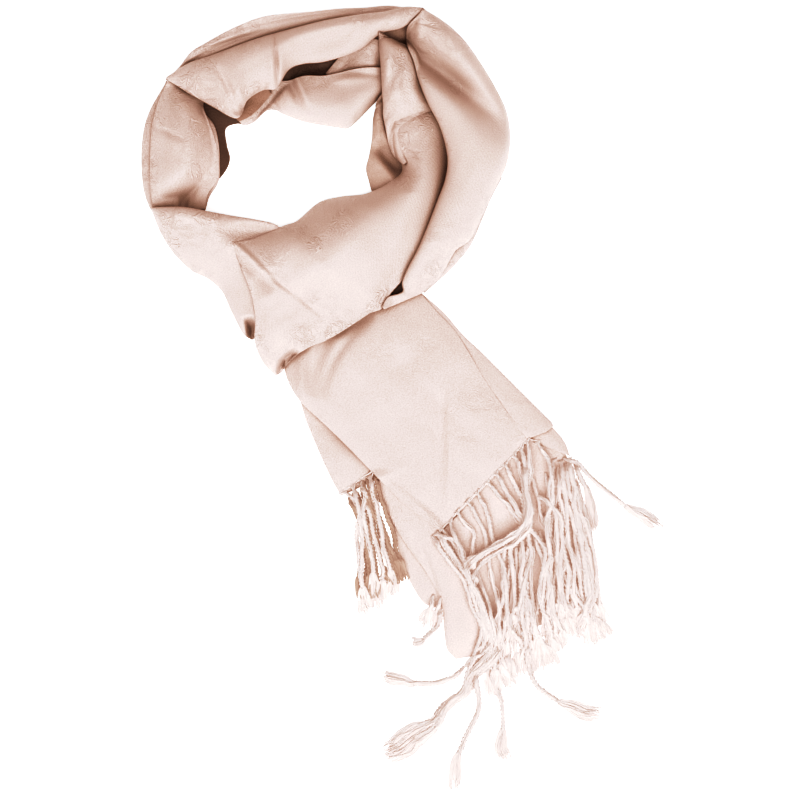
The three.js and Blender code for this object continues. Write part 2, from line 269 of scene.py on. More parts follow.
def volume_of(points: Array, quads: Array) -> float:
    """Returns six times the volume inside quads that face outwards, and its negative inside out.

    It is measured from the points' mean, so that a tube's open ends count for little.
    """
    a, b, c, d = (points[quads[:, k]] - points.mean(axis=0) for k in range(4))
    return float(np.sum(np.cross(a, b) * c) + np.sum(np.cross(a, c) * d))


def make_object(name: str, points: Array, faces: list, uv: Array | None) -> Piece:
    """Makes a smooth-shaded mesh object in the scene.

    Args:
        name: The piece's name.
        points: One line for each point, in millimetres.
        faces: Point numbers of each face.
        uv: One line for each face corner in turn, in metres of cloth, or None.

    Returns:
        The object, at the origin.
    """
    mesh = bpy.data.meshes.new(name)
    mesh.from_pydata((points * MM).tolist(), [], faces)
    if uv is not None:
        mesh.uv_layers.new(name="cloth").data.foreach_set("uv", uv.astype(np.float32).ravel())
    mesh.polygons.foreach_set("use_smooth", np.ones(len(mesh.polygons), bool))
    mesh.update()
    obj = bpy.data.objects.new(name, mesh)
    bpy.context.scene.collection.objects.link(obj)
    return obj


def make_tube(name: str, rings: Array) -> tuple[Piece, float, float]:
    """Closes rings of points into a tube with a fan on each end.

    The UV map runs round the tube and along it, in metres of cloth.

    Args:
        name: The piece's name.
        rings: Rings by points by three, in millimetres.

    Returns:
        The object, the mean way round it and its length, both in metres.
    """
    count, around = rings.shape[:2]
    loop = np.concatenate([rings, rings[:, :1]], axis=1)
    side = np.linalg.norm(np.diff(loop, axis=1), axis=2)
    u = np.concatenate([np.zeros((count, 1)), np.cumsum(side, axis=1)], axis=1)
    middle = rings.mean(axis=1)
    v = np.concatenate([[0], np.cumsum(np.linalg.norm(np.diff(middle, axis=0), axis=1))])
    uv = np.stack([u, np.broadcast_to(v[:, None], u.shape)], axis=-1) * MM
    points = np.vstack([rings.reshape(-1, 3), middle[[0, -1]]])
    quads = tube_faces(count, around)
    corners = np.stack([uv[:-1, :-1], uv[:-1, 1:], uv[1:, 1:], uv[1:, :-1]], axis=2).reshape(-1, 4, 2)
    k = np.arange(around)
    base = (count - 1) * around
    first = np.stack([(k + 1) % around, k, np.full(around, len(points) - 2)], axis=1)
    last = np.stack([base + k, base + (k + 1) % around, np.full(around, len(points) - 1)], axis=1)
    ends = [np.stack([uv[s, 1:], uv[s, :-1], uv[s, :-1]], axis=1) for s in (0, -1)]
    if volume_of(points, quads) < 0:
        quads, corners, first, last = (part[:, ::-1] for part in (quads, corners, first, last))
    faces = quads.tolist() + first.tolist() + last.tolist()
    flat_uv = np.vstack([part.reshape(-1, 2) for part in (corners, *ends)])
    return make_object(name, points, faces, flat_uv), float(u[:, -1].mean()) * MM, float(v[-1]) * MM


# ---------------------------------------------------------------- finishes
def linear(hex_colour: str) -> tuple[float, float, float, float]:
    """Turns an sRGB colour to linear light, share by share, by the sRGB standard's curve.

    Args:
        hex_colour: Such as "#e8cfc4".

    Returns:
        Red, green, blue and full alpha.
    """
    shares = [int(hex_colour[k : k + 2], 16) / 255 for k in (1, 3, 5)]
    bent = [c / 12.92 if c <= 0.04045 else ((c + 0.055) / 1.055) ** 2.4 for c in shares]
    return (*bent, 1.0)


class Shader:
    """A material in the making, which starts with no nodes."""

    def __init__(self, name: str) -> None:
        """Makes the material.

        Args:
            name: The material's name.
        """
        self.material = bpy.data.materials.new(name)
        self.material.use_nodes = True
        self.tree = self.material.node_tree
        self.tree.nodes.clear()

    def node(self, kind: str, inputs: dict | None = None, **settings: str | int) -> bpy.types.Node:
        """Adds one shader node.

        Args:
            kind: The node's type, after ShaderNode.
            inputs: Socket name or number to a value, or to the output socket that feeds it.
            settings: The node's own settings.

        Returns:
            The node.
        """
        node = self.tree.nodes.new("ShaderNode" + kind)
        for name, value in settings.items():
            setattr(node, name, value)
        for name, value in (inputs or {}).items():
            if isinstance(value, Socket):
                self.tree.links.new(value, node.inputs[name])
            else:
                node.inputs[name].default_value = value
        return node

    def math(self, how: str, *values: Value, clamp: bool = False) -> Socket:
        """Returns the output of a Math node that does how to the values."""
        return self.node("Math", dict(enumerate(values)), operation=how, use_clamp=clamp).outputs[0]

    def mul_add(self, value: Value, factor: float, plus: Value, clamp: bool = False) -> Socket:
        """Returns the output of value * factor + plus."""
        return self.math("MULTIPLY_ADD", value, factor, plus, clamp=clamp)

    def noise(self, place: Socket, scale: float, detail: float, **how: str) -> Socket:
        """Returns the output of a Noise node at a place socket, with its scale, detail and settings."""
        return self.node("TexNoise", {"Vector": place, "Scale": scale, "Detail": detail}, **how).outputs[0]

    def mix(self, share: Socket, first: str, last: str) -> Socket:
        """Returns the output of a blend from one hex colour to another."""
        return self.node("Mix", {0: share, 6: linear(first), 7: linear(last)}, data_type="RGBA").outputs[2]

    def finish(self, inputs: dict) -> Material:
        """Gives the material its surface, with these inputs and a pale sheen.

        Args:
            inputs: As in node.

        Returns:
            The material.
        """
        surface = self.node("BsdfPrincipled", {"Sheen Tint": linear("#fff3ee")} | inputs)
        self.node("OutputMaterial", {"Surface": surface.outputs[0]})
        return self.material


@dataclass(frozen=True)
class PashminaFinish:
    """Fine viscose and silk pashmina, woven with a satin face and a tone-on-tone scrolling jacquard."""

    name: str = "pashmina_blush"
    ground: str = "#e3d8d5"  # colour on open faces
    hollow: str = "#564b45"  # painted shade: the colour deep in a fold, where the ambient occlusion finds close faces
    reach_mm: float = 40.0  # how far off a neighbouring face still adds to the painted fold shade
    roughness: float = 0.52
    gloss: float = 0.45  # specular level of the satin face
    sheen: float = 0.12  # of the fibre ends
    rib_mm: float = 2.2  # spacing of the twill lines, ten times the real one, so that they show
    motif_mm: float = 40.0  # spacing of the woven flowers
    scroll_mm: float = 6.0  # spacing of the woven scrolls
    figure: float = 1.0  # how strongly the woven figure shows

    def jacquard(self, to: Shader, place: Socket) -> Socket:
        """Draws the figure of the weave: curled scroll lines that fill petalled flowers.

        A flower stands at each point of a Voronoi lattice and reaches as far as a ring of five lobes
        round its angle. The scrolls in it are contour lines of a warped noise.

        Args:
            to: The material.
            place: The cloth's own coordinates, in metres.

        Returns:
            A socket that is 1 on the figure and 0 on the ground.
        """
        scale = 1 / (self.motif_mm * MM)
        spots = {"Vector": place, "Scale": scale, "Randomness": 0.75}
        cells = to.node("TexVoronoi", spots, voronoi_dimensions="2D")
        scaled = to.node("VectorMath", {0: place, "Scale": scale}, operation="SCALE").outputs[0]
        off = to.node("VectorMath", {0: scaled, 1: cells.outputs["Position"]}, operation="SUBTRACT")
        xyz = to.node("SeparateXYZ", {0: off.outputs[0]}).outputs
        turn = to.math("ARCTAN2", xyz[1], xyz[0])
        spin = to.node("SeparateColor", {0: cells.outputs["Color"]}).outputs[0]
        lobes = to.mul_add(turn, 2.5, to.math("MULTIPLY", spin, 6.283))
        reach = to.mul_add(to.math("ABSOLUTE", to.math("SINE", lobes)), 0.26, 0.2)
        inside = to.math("DIVIDE", cells.outputs["Distance"], reach)
        flower = to.mul_add(inside, -8.0, 8.0, clamp=True)
        warped = {"Vector": place, "Scale": 0.35 / (self.scroll_mm * MM), "Detail": 1.0, "Distortion": 1.6}
        scroll = to.node("TexNoise", warped, noise_dimensions="2D").outputs[0]
        line = to.math("PINGPONG", to.math("MULTIPLY", scroll, 5.5), 0.5)
        soft = to.mul_add(line, -7.0, 1.6, clamp=True)
        return to.math("MULTIPLY", soft, to.mul_add(flower, 0.8, 0.2))

    def material(self) -> Material:
        """Makes the cloth's material: ribs and figure as bump and tone, and painted shade in its folds.

        Returns:
            The material, which reads the UV map named cloth.
        """
        to = Shader(self.name)
        place = to.node("UVMap", uv_map="cloth").outputs[0]
        flat = {"noise_dimensions": "2D"}
        drift, grain = to.noise(place, 14.0, 3.0, **flat), to.noise(place, 760.0, 2.0, **flat)
        patches = to.mul_add(to.noise(place, 11.0, 1.0, **flat), 5.0, -1.6, clamp=True)
        shown = to.math("MULTIPLY", self.jacquard(to, place), patches)
        shown = to.math("MULTIPLY", shown, self.figure)
        # Painted shade: an ambient occlusion node blends the colour from ground to hollow in folds and
        # where layers lie close.
        folded = to.node("AmbientOcclusion", {"Distance": self.reach_mm * MM}, samples=6)
        painted_shade_mix = to.mul_add(folded.outputs["AO"], 2.1, -0.5, clamp=True)
        tone = to.mul_add(drift, 0.08, to.math("ADD", to.mul_add(grain, 0.32, 0.84), -0.03))
        toned = {"Color": to.mix(painted_shade_mix, self.hollow, self.ground), "Value": to.mul_add(shown, 0.1, tone)}
        bands = {"Vector": place, "Scale": 0.33 / (self.rib_mm * MM), "Distortion": 2.0, "Detail": 1.0}
        ribs = to.node("TexWave", bands, bands_direction="DIAGONAL").outputs[1]
        height = to.mul_add(shown, 3.0, to.mul_add(ribs, 0.2, grain))
        bump = to.node("Bump", {"Height": height, "Strength": 0.6, "Distance": 0.0007})
        surface = {
            "Base Color": to.node("HueSaturation", toned).outputs[0],
            "Roughness": self.roughness,
            "Normal": bump.outputs[0],
            "Sheen Weight": self.sheen,
            "Sheen Roughness": 0.4,
            "Specular IOR Level": self.gloss,
        }
        return to.finish(surface)


@dataclass(frozen=True)
class CordFinish:
    """The same yarn twisted two-ply: pale and soft, with a painted glow that lifts its shade."""

    name: str = "fringe_yarn"
    yarn: str = "#e7e1e0"  # its colour
    hollow: str = "#dbd3d1"  # its colour where the dye took better
    painted_glow: float = 0.15  # painted glow: emission that brightens the yarn evenly, lifting its shaded sides

    def material(self) -> Material:
        """Makes the fringe's material, whose colour drifts along the cords in patches and which glows a
        little, a painted light.

        Returns:
            The material, which reads object coordinates.
        """
        to = Shader(self.name)
        place = to.node("TexCoord").outputs["Object"]
        fibre = to.noise(place, 900.0, 1.0)
        surface = {
            "Base Color": to.mix(to.noise(place, 60.0, 3.0), self.yarn, self.hollow),
            "Roughness": 0.6,
            "Normal": to.node("Bump", {"Height": fibre, "Strength": 0.4, "Distance": 0.0004}).outputs[0],
            "Sheen Weight": 0.3,
            "Sheen Roughness": 0.5,
            "Specular IOR Level": 0.5,
            # Painted glow: the yarn gives off a little light of its own, though it is no lamp.
            "Emission Color": linear("#fff4f0"),
            "Emission Strength": self.painted_glow,
        }
        return to.finish(surface)


# ---------------------------------------------------------------- one stretch of the wound cloth
class Wall(Enum):
    """How a stretch's skin gets its thickness."""

    HOLLOW = "a rounded roll, whose skin is one layer of cloth thick"
    FLAT = "a flat band, whose two faces are its outer layers"


@dataclass
class Stretch:
    """A stretch of the folded band: a skin carried through sections and draped over the heap."""

    name: str  # the piece's name ends in _cloth
    sections: list[Row]  # rows of SECTION
    creases: list[Row] = field(default_factory=list)  # rows of CREASE
    extra: bool = False  # a fold of its neighbour, which no node of the model stands for
    wall: Wall = Wall.HOLLOW
    fullness: float = 0.55  # power of the crown's arch: 0.5 is half an ellipse, 1 a parabola
    peak: float = 0.5  # where across the cloth the crown is highest, from 0 at the outer edge to 1
    roll: float = 2.0  # how far its outer folded edge stands above what it lies on
    tuck: float = 2.0  # how far its inner edge does; below 0 where the cloth runs on there
    ripple: float = 0.8  # height of its small folds
    seed: int = 1  # which small folds
    bridge: int = 3  # how far it spreads the heap's steps
    spacing: float = 1.8  # from ring to ring
    cloth_mm: float = 0.9  # one layer of cloth
    clearance: float = 0.35  # air between layers
    flat: tuple[float, float] = (0.0, 0.0)  # the cut that shows, in metres, once it is built

    def top(self, heap: Heap, x: Array, y: Array, v: Array, col: Array) -> Array:
        """Works out the heights of the upper side.

        With v from 0 at the outer edge to 1 at the inner edge, and w the power of v that is a half
        where v is peak, it is the straight line between the edges plus
        crown * (4 w (1 - w)) ** fullness, less the creases, plus two stretched noises. It is never
        below the softened heap, and where the two cross it is rounded over blend millimetres.

        Args:
            heap: What lies below.
            x: Places, across the table.
            y: Places, up the table.
            v: Shares of the way across the cloth.
            col: Columns of SECTION at each ring.

        Returns:
            Heights.
        """
        blend = 1.5
        long_fold, short_fold, slant = (70, 17), (31, 9), (60, 90)
        arch = np.clip(4 * v * (1 - v), 0, 1)
        run = np.linspace(0, self.spacing * (len(col) - 1), len(col))[:, None]
        across = v * np.hypot(*(col[:, 2:4] - col[:, 0:2]).T)[:, None]
        folds = soft_noise(run / long_fold[0], across / long_fold[1], self.seed)
        slanted = run / short_fold[0] + across / slant[0], across / short_fold[1] + run / slant[1]
        folds = folds + 0.5 * soft_noise(*slanted, self.seed + 1)
        w = v ** (math.log(0.5) / math.log(self.peak))
        edge = col[:, 4:5] + (col[:, 5:6] - col[:, 4:5]) * v
        top = edge + np.maximum(col[:, 6:7], 0) * np.clip(4 * w * (1 - w), 0, 1) ** self.fullness
        top = top - crease_depth(x, y, table(CREASE, self.creases)) + self.ripple * folds * arch**0.4
        stands = self.clearance + self.roll + (self.tuck - self.roll) * v + self.cloth_mm * arch
        least = heap.sample(heap.softened(self.bridge), x, y) + stands
        return 0.5 * (top + least + np.sqrt((top - least) ** 2 + blend**2))

    def rings(self, heap: Heap) -> tuple[Array, int]:
        """Works out the skin's points.

        The underside drops from the edges to the table or to just above the heap.

        Args:
            heap: What lies below.

        Returns:
            Rings by points by three, and how many points of a ring are on its upper side.
        """
        rows = table(SECTION, self.sections).view(float).reshape(len(self.sections), -1)
        at = even_rows((rows[:, 0:2] + rows[:, 2:4]) / 2, self.spacing)
        col = through_rows(rows, at)
        width = np.hypot(*(col[:, 2:4] - col[:, 0:2]).T).max()
        fewest, closer = 16, 1.25  # points across the upper side, and how much closer than rings
        upper = max(fewest, int(width / self.spacing * closer))
        lower = max(fewest // 2, upper // 3)
        v_up = (1 - np.cos(np.pi * np.linspace(0, 1, upper + 1))) / 2
        v_down = (1 + np.cos(np.pi * np.linspace(0, 1, lower + 1)[1:-1])) / 2
        v = np.concatenate([v_up, v_down])[None, :]
        x, y = (col[:, k : k + 1] + (col[:, k + 2 : k + 3] - col[:, k : k + 1]) * v for k in (0, 1))
        edge = col[:, 4:5] + (col[:, 5:6] - col[:, 4:5]) * v
        top = self.top(heap, x, y, v, col)
        floor = np.maximum(heap.sample(heap.softened(1), x, y), np.maximum(col[:, 7:8], 0))
        drop, thinnest = 0.18, 0.7  # power of the underside's fall from the edges, and least height
        bottom = edge - (edge - floor) * np.clip(4 * v * (1 - v), 0, 1) ** drop
        bottom = np.minimum(np.maximum(bottom, floor) + self.clearance, top - thinnest)
        z = np.where(np.arange(v.shape[1]) <= upper, top, bottom)
        return np.stack([x, y, z], axis=-1), upper + 1

    def build(self, heap: Heap, finish: Material) -> Piece:
        """Args:
            heap: What lies below.
            finish: The cloth's material.

        Returns:
            The piece.
        """
        rings, upper = self.rings(heap)
        obj, around, length = make_tube(self.name + "_cloth", rings)
        obj.data.materials.append(finish)
        self.flat = (around / 2, length)
        if self.wall is Wall.HOLLOW:
            self.flat = (around, length)
            skin = obj.modifiers.new("one layer of cloth", "SOLIDIFY")
            skin.thickness = self.cloth_mm * MM
            skin.offset = -1
        heap.lay(rings[:, :upper])
        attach(obj, "root")
        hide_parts(*(() if self.extra else (self.name,)))
        log.info("%s: %.0f mm round, %.0f mm long", self.name, around / MM, length / MM)
        return obj


@dataclass
class Layers:
    """A sub-assembly of stretches that lie one on another."""

    stretches: list[Stretch]  # from the bottom up
    finish: Material
    inside: dict[str, Material] = field(default_factory=dict)  # finishes with painted shade, for the stretches deep in folds and pockets

    def build(self, heap: Heap) -> list[tuple[Stretch, Piece]]:
        """Lays them on the heap and returns each with its piece."""
        return [(s, s.build(heap, self.inside.get(s.name, self.finish))) for s in self.stretches]


# ---------------------------------------------------------------- the stretches, from the bottom up
# Each has its rows of SECTION, then its rows of CREASE. A tail is the whole cloth folded into a band.
BAND = {"wall": Wall.FLAT, "fullness": 0.5, "spacing": 2.0}
LOWER_TAIL = [
    Stretch("tail_back_under", [
        (-28, -78, 30, -55, 1.6, 1.6, 1), (-15, -115, 50, -95, 1.6, 1.6, 1),
        (-6, -145, 65, -125, 1.6, 1.6, 1), (4, -175, 80, -160, 1.6, 1.6, 1),
        (18, -200, 90, -190, 1.6, 1.6, 1), (30, -208, 92, -198, 1.6, 1.6, 0.8),
    ], seed=11, roll=0.6, **BAND),
    Stretch("tail_back", [
        (-55, 0, 80, 20, 3, 3, 2), (-38, -40, 125, -20, 3, 3, 2.5), (-19, -86, 160, -50, 3, 3, 3),
        (6, -134, 175, -95, 3, 3, 3), (31, -173, 187, -130, 3, 3, 3), (48, -204, 193, -160, 3, 3, 3),
        (54, -240, 195, -190, 3, 3, 2.6), (60, -254, 196, -203, 2.6, 2.6, 2.4),
    ], seed=13, roll=1, ripple=1.4, **BAND),
    Stretch("tail_back_fold", [
        (-27, -82, -20, -78, 5, 5, 1.5), (-15, -112, 8, -100, 6, 6, 2.5), (0, -140, 32, -124, 6, 7, 3),
        (24, -174, 56, -162, 6, 8, 3.5), (38, -202, 74, -194, 6, 8, 4), (41, -230, 79, -222, 6, 8, 4),
        (44, -249, 76, -242, 5, 6, 3), (53, -259, 69, -256, 4, 4, 1),
    ], [
        (8, -132, 36, -200, 3, 3, 3), (46, -190, 48, -254, -3, 6, -1.2), (70, -236, 80, -256, 2, 4, 3),
    ], seed=17, fullness=0.6, roll=1, ripple=0.6, spacing=1.6),
]
UPPER_TAIL = [
    Stretch("tail_left", [
        (-103, 0, -60, 15, 4, 4, 3), (-97, -20, -48, -2, 3, 3, 1.5), (-89, -40, -32, -25, 3, 3, 2),
        (-79, -63, -18, -45, 4, 4, 2.6), (-71, -80, -8, -62, 3.5, 3.5, 2.4), (-62, -96, 2, -66, 3, 3, 2),
    ], [
        (-86, -22, -34, -70, 3, 5, 1.6),
    ], seed=19, roll=1, **BAND),
    Stretch("tail_front_third", [
        (100, 0, 125, -4, 5, 5, 1), (112, -18, 138, -17, 5, 5, 1), (122, -30, 150, -28, 5, 5, 1),
        (130, -40, 161, -41, 5, 5, 1), (137, -45, 167, -56, 5, 5, 0.8),
    ], extra=True, seed=23, roll=0.8, **BAND),
    Stretch("tail_front_under", [
        (-30, 95, 14, 110, 9, 8, 1.2), (-10, 78, 40, 88, 9, 8, 1.6), (12, 58, 59, 66, 9, 8, 1.6),
        (34, 32, 78, 48, 9, 8, 1.6), (55, 5, 97, 29, 9, 8, 1.6), (75, -15, 118, 8, 9, 8, 1.6),
        (92, -30, 140, -14, 9, 8, 1.6), (110, -38, 150, -25, 9, 8, 1.4),
        (116, -42, 143, -32, 8.5, 8.5, 1.2),
    ], seed=29, roll=0.8, **BAND),
    Stretch("tail_front", [
        (-118, 52, 6, 122, 10, 9, 5), (-118, 30, 21, 103, 10, 9, 7), (-112, 13, 35, 87, 12, 9, 7),
        (-101, -3, 52, 69, 13, 9, 6), (-84, -19, 66, 47, 12, 10, 5), (-60, -42, 83, 18, 10, 10, 4),
        (-29, -74, 101, -8, 9, 10, 4), (2, -104, 116, -28, 8, 9, 3.2), (38, -132, 125, -42, 6.5, 6.5, 2.5),
    ], [
        (-52, 92, -92, 4, -10, 11, 5), (-36, 76, -80, 2, -10, 5, 2.5), (-68, 66, -28, 88, 0, 8, 6),
        (-72, 84, -96, 30, -4, 6, -2.5), (36, 30, 34, -116, 1, 8, 2.4), (46, 26, 44, -124, 1, 3.5, -1.2),
        (-101, 50, -101, -6, 0, 6, -3), (-24, 92, 4, 40, 4, 20, -2.5), (-40, -20, 20, -90, 6, 20, 1.5),
    ], seed=31, fullness=0.75, tuck=-0.9, roll=1.2, ripple=0.6, wall=Wall.FLAT),
]
# The lower wrap shows at the loop's edges and in its hole, and the upper wrap lies on it.
LOWER_WRAP = [
    Stretch("loop_top_under", [
        (-237, 320, -215, 305, 14, 8, 2), (-224, 331, -200, 310, 16, 8, 6),
        (-211, 346, -185, 312, 28, 7, 6), (-196, 355, -165, 312, 31, 6, 5),
        (-176, 366, -145, 312, 33, 5, 4), (-156, 375, -125, 312, 34, 4, 3),
        (-138, 381, -110, 312, 34, 3, 3), (-115, 384, -95, 312, 34, 3, 3), (-90, 386, -70, 312, 33, 3, 3),
        (-65, 389, -50, 312, 31, 3, 3), (-40, 391, -32, 328, 18, 5, 12), (-15, 393, -10, 340, 18, 6, 10),
        (3, 391, 8, 355, 18, 8, 7), (14, 389, 17, 374, 18, 12, 3),
    ], [
        (-228, 326, -132, 368, 5, 1.8, 2.5), (-218, 338, -150, 362, 3, 1.8, 2),
        (-224, 332, -140, 370, 5, 3, -2), (-160, 370, -40, 388, 3, 2.2, 2),
        (-128, 328, -30, 344, 0, 10, 12),
    ], seed=37, fullness=0.8, peak=0.4),
    Stretch("loop_left_under", [
        (-236, 318, -220, 310, 10, 10, 1), (-244, 305, -222, 297, 9, 10, 4),
        (-252, 291, -225, 285, 8, 10, 6), (-258, 274, -225, 270, 8, 10, 8),
        (-261, 252, -228, 250, 8, 10, 8), (-261, 228, -228, 228, 8, 10, 8),
        (-259, 210, -226, 210, 8, 10, 7), (-254, 194, -224, 194, 8, 10, 5), (-248, 184, -225, 180, 8, 9, 2),
    ], seed=41),
    # Its near-black finish is painted shade, deep in the loop's hollow.
    Stretch("loop_left_inner", [
        (-60, 340, -62, 326, 9, 8, 1), (-78, 339, -82, 318, 8, 6, 1), (-100, 336, -108, 308, 7, 4, 1),
        (-122, 330, -132, 295, 6, 3, 1), (-145, 320, -152, 276, 6, 3, 1), (-176, 312, -166, 276, 6, 4, 3),
        (-204, 302, -177, 271, 8, 4, 4), (-210, 264, -176, 255, 8, 4, 4), (-202, 240, -173, 240, 8, 4, 4),
        (-205, 224, -180, 225, 8, 4, 3), (-212, 204, -200, 204, 8, 4, 3), (-216, 186, -204, 188, 8, 4, 3),
    ], seed=43),
    Stretch("loop_right_under", [
        (99, 222, 70, 235, 8, 9, 3), (88, 201, 60, 215, 8, 9, 6), (80, 182, 50, 195, 8, 9, 8),
        (68, 155, 40, 175, 8, 9, 8), (54, 137, 25, 155, 8, 9, 8), (39, 122, 12, 138, 8, 9, 7),
        (22, 107, 0, 120, 8, 9, 5),
    ], seed=47),
    Stretch("loop_inner_behind", [
        (-77, 326, -75, 323, 5, 5, 1), (-64, 341, -60, 322, 7, 7, 2), (-55, 348, -52, 322, 9, 8, 5),
        (-44, 355, -44, 322, 11, 9, 8), (-31, 359, -31, 322, 13, 10, 10), (-20, 357, -20, 322, 12, 9, 6),
        (-8, 352, -8, 326, 9, 8, 2),
    ], extra=True, seed=97),
    Stretch("loop_inner_top", [
        (-168, 283, -160, 274, 6, 5, 1), (-160, 300, -149, 277, 3, 7, 0.5),
        (-150, 313, -137, 288, 3, 10, 0.5), (-138, 319, -127, 289, 5, 10, 2),
        (-117, 318, -119, 285, 15, 8, 9), (-98, 323, -100, 278, 18, 8, 12), (-80, 323, -80, 274, 18, 8, 13),
        (-64, 326, -66, 272, 18, 8, 14), (-52, 329, -55, 271, 18, 8, 15), (-38, 331, -44, 280, 18, 8, 14),
        (-22, 331, -24, 300, 17, 9, 9), (-4, 330, -8, 306, 14, 10, 3),
    ], [
        (-120, 330, -100, 286, 2, 5, 5), (-113, 332, -94, 292, 1, 4, -3.6),
        (-112, 324, -152, 280, 2, 2.4, 3), (-60, 318, -52, 278, 3, 9, 2), (-74, 318, -24, 322, 0, 5, -2),
    ], seed=53, peak=0.63, fullness=0.8),
    # A sheet in the mouth of the top band's pocket; its dark finish is painted shade.
    Stretch("loop_top_pocket", [
        (-171, 285, -164, 278, 5, 6, 0.5), (-166, 296, -155, 282, 4, 7, 0.5),
        (-157, 307, -145, 290, 4, 8, 0.5), (-147, 315, -137, 299, 4, 9, 0.5),
        (-140, 318, -131, 306, 4, 9, 0.5),
    ], extra=True, seed=103, roll=0.3, tuck=0.3),
    # Its darker finish and wider fold darkening are painted shade.
    Stretch("loop_inner_right_low", [
        (0, 308, -20, 306, 10, 8, 3), (2, 296, -26, 296, 10, 8, 5), (2, 280, -30, 280, 10, 7, 6),
        (5, 262, -31, 262, 10, 7, 7), (8, 245, -34, 244, 10, 7, 7), (12, 230, -37, 231, 10, 7, 7),
        (8, 217, -34, 218, 10, 7, 6), (0, 203, -30, 204, 9, 7, 3),
    ], [
        (-28, 262, 8, 226, -4, 9, 14), (-34, 248, -4, 208, 3, 5, -4), (-26, 300, -22, 250, -2, 4, -3),
        (-16, 300, -8, 244, 0, 5, 8),
    ], seed=59, peak=0.7),
]
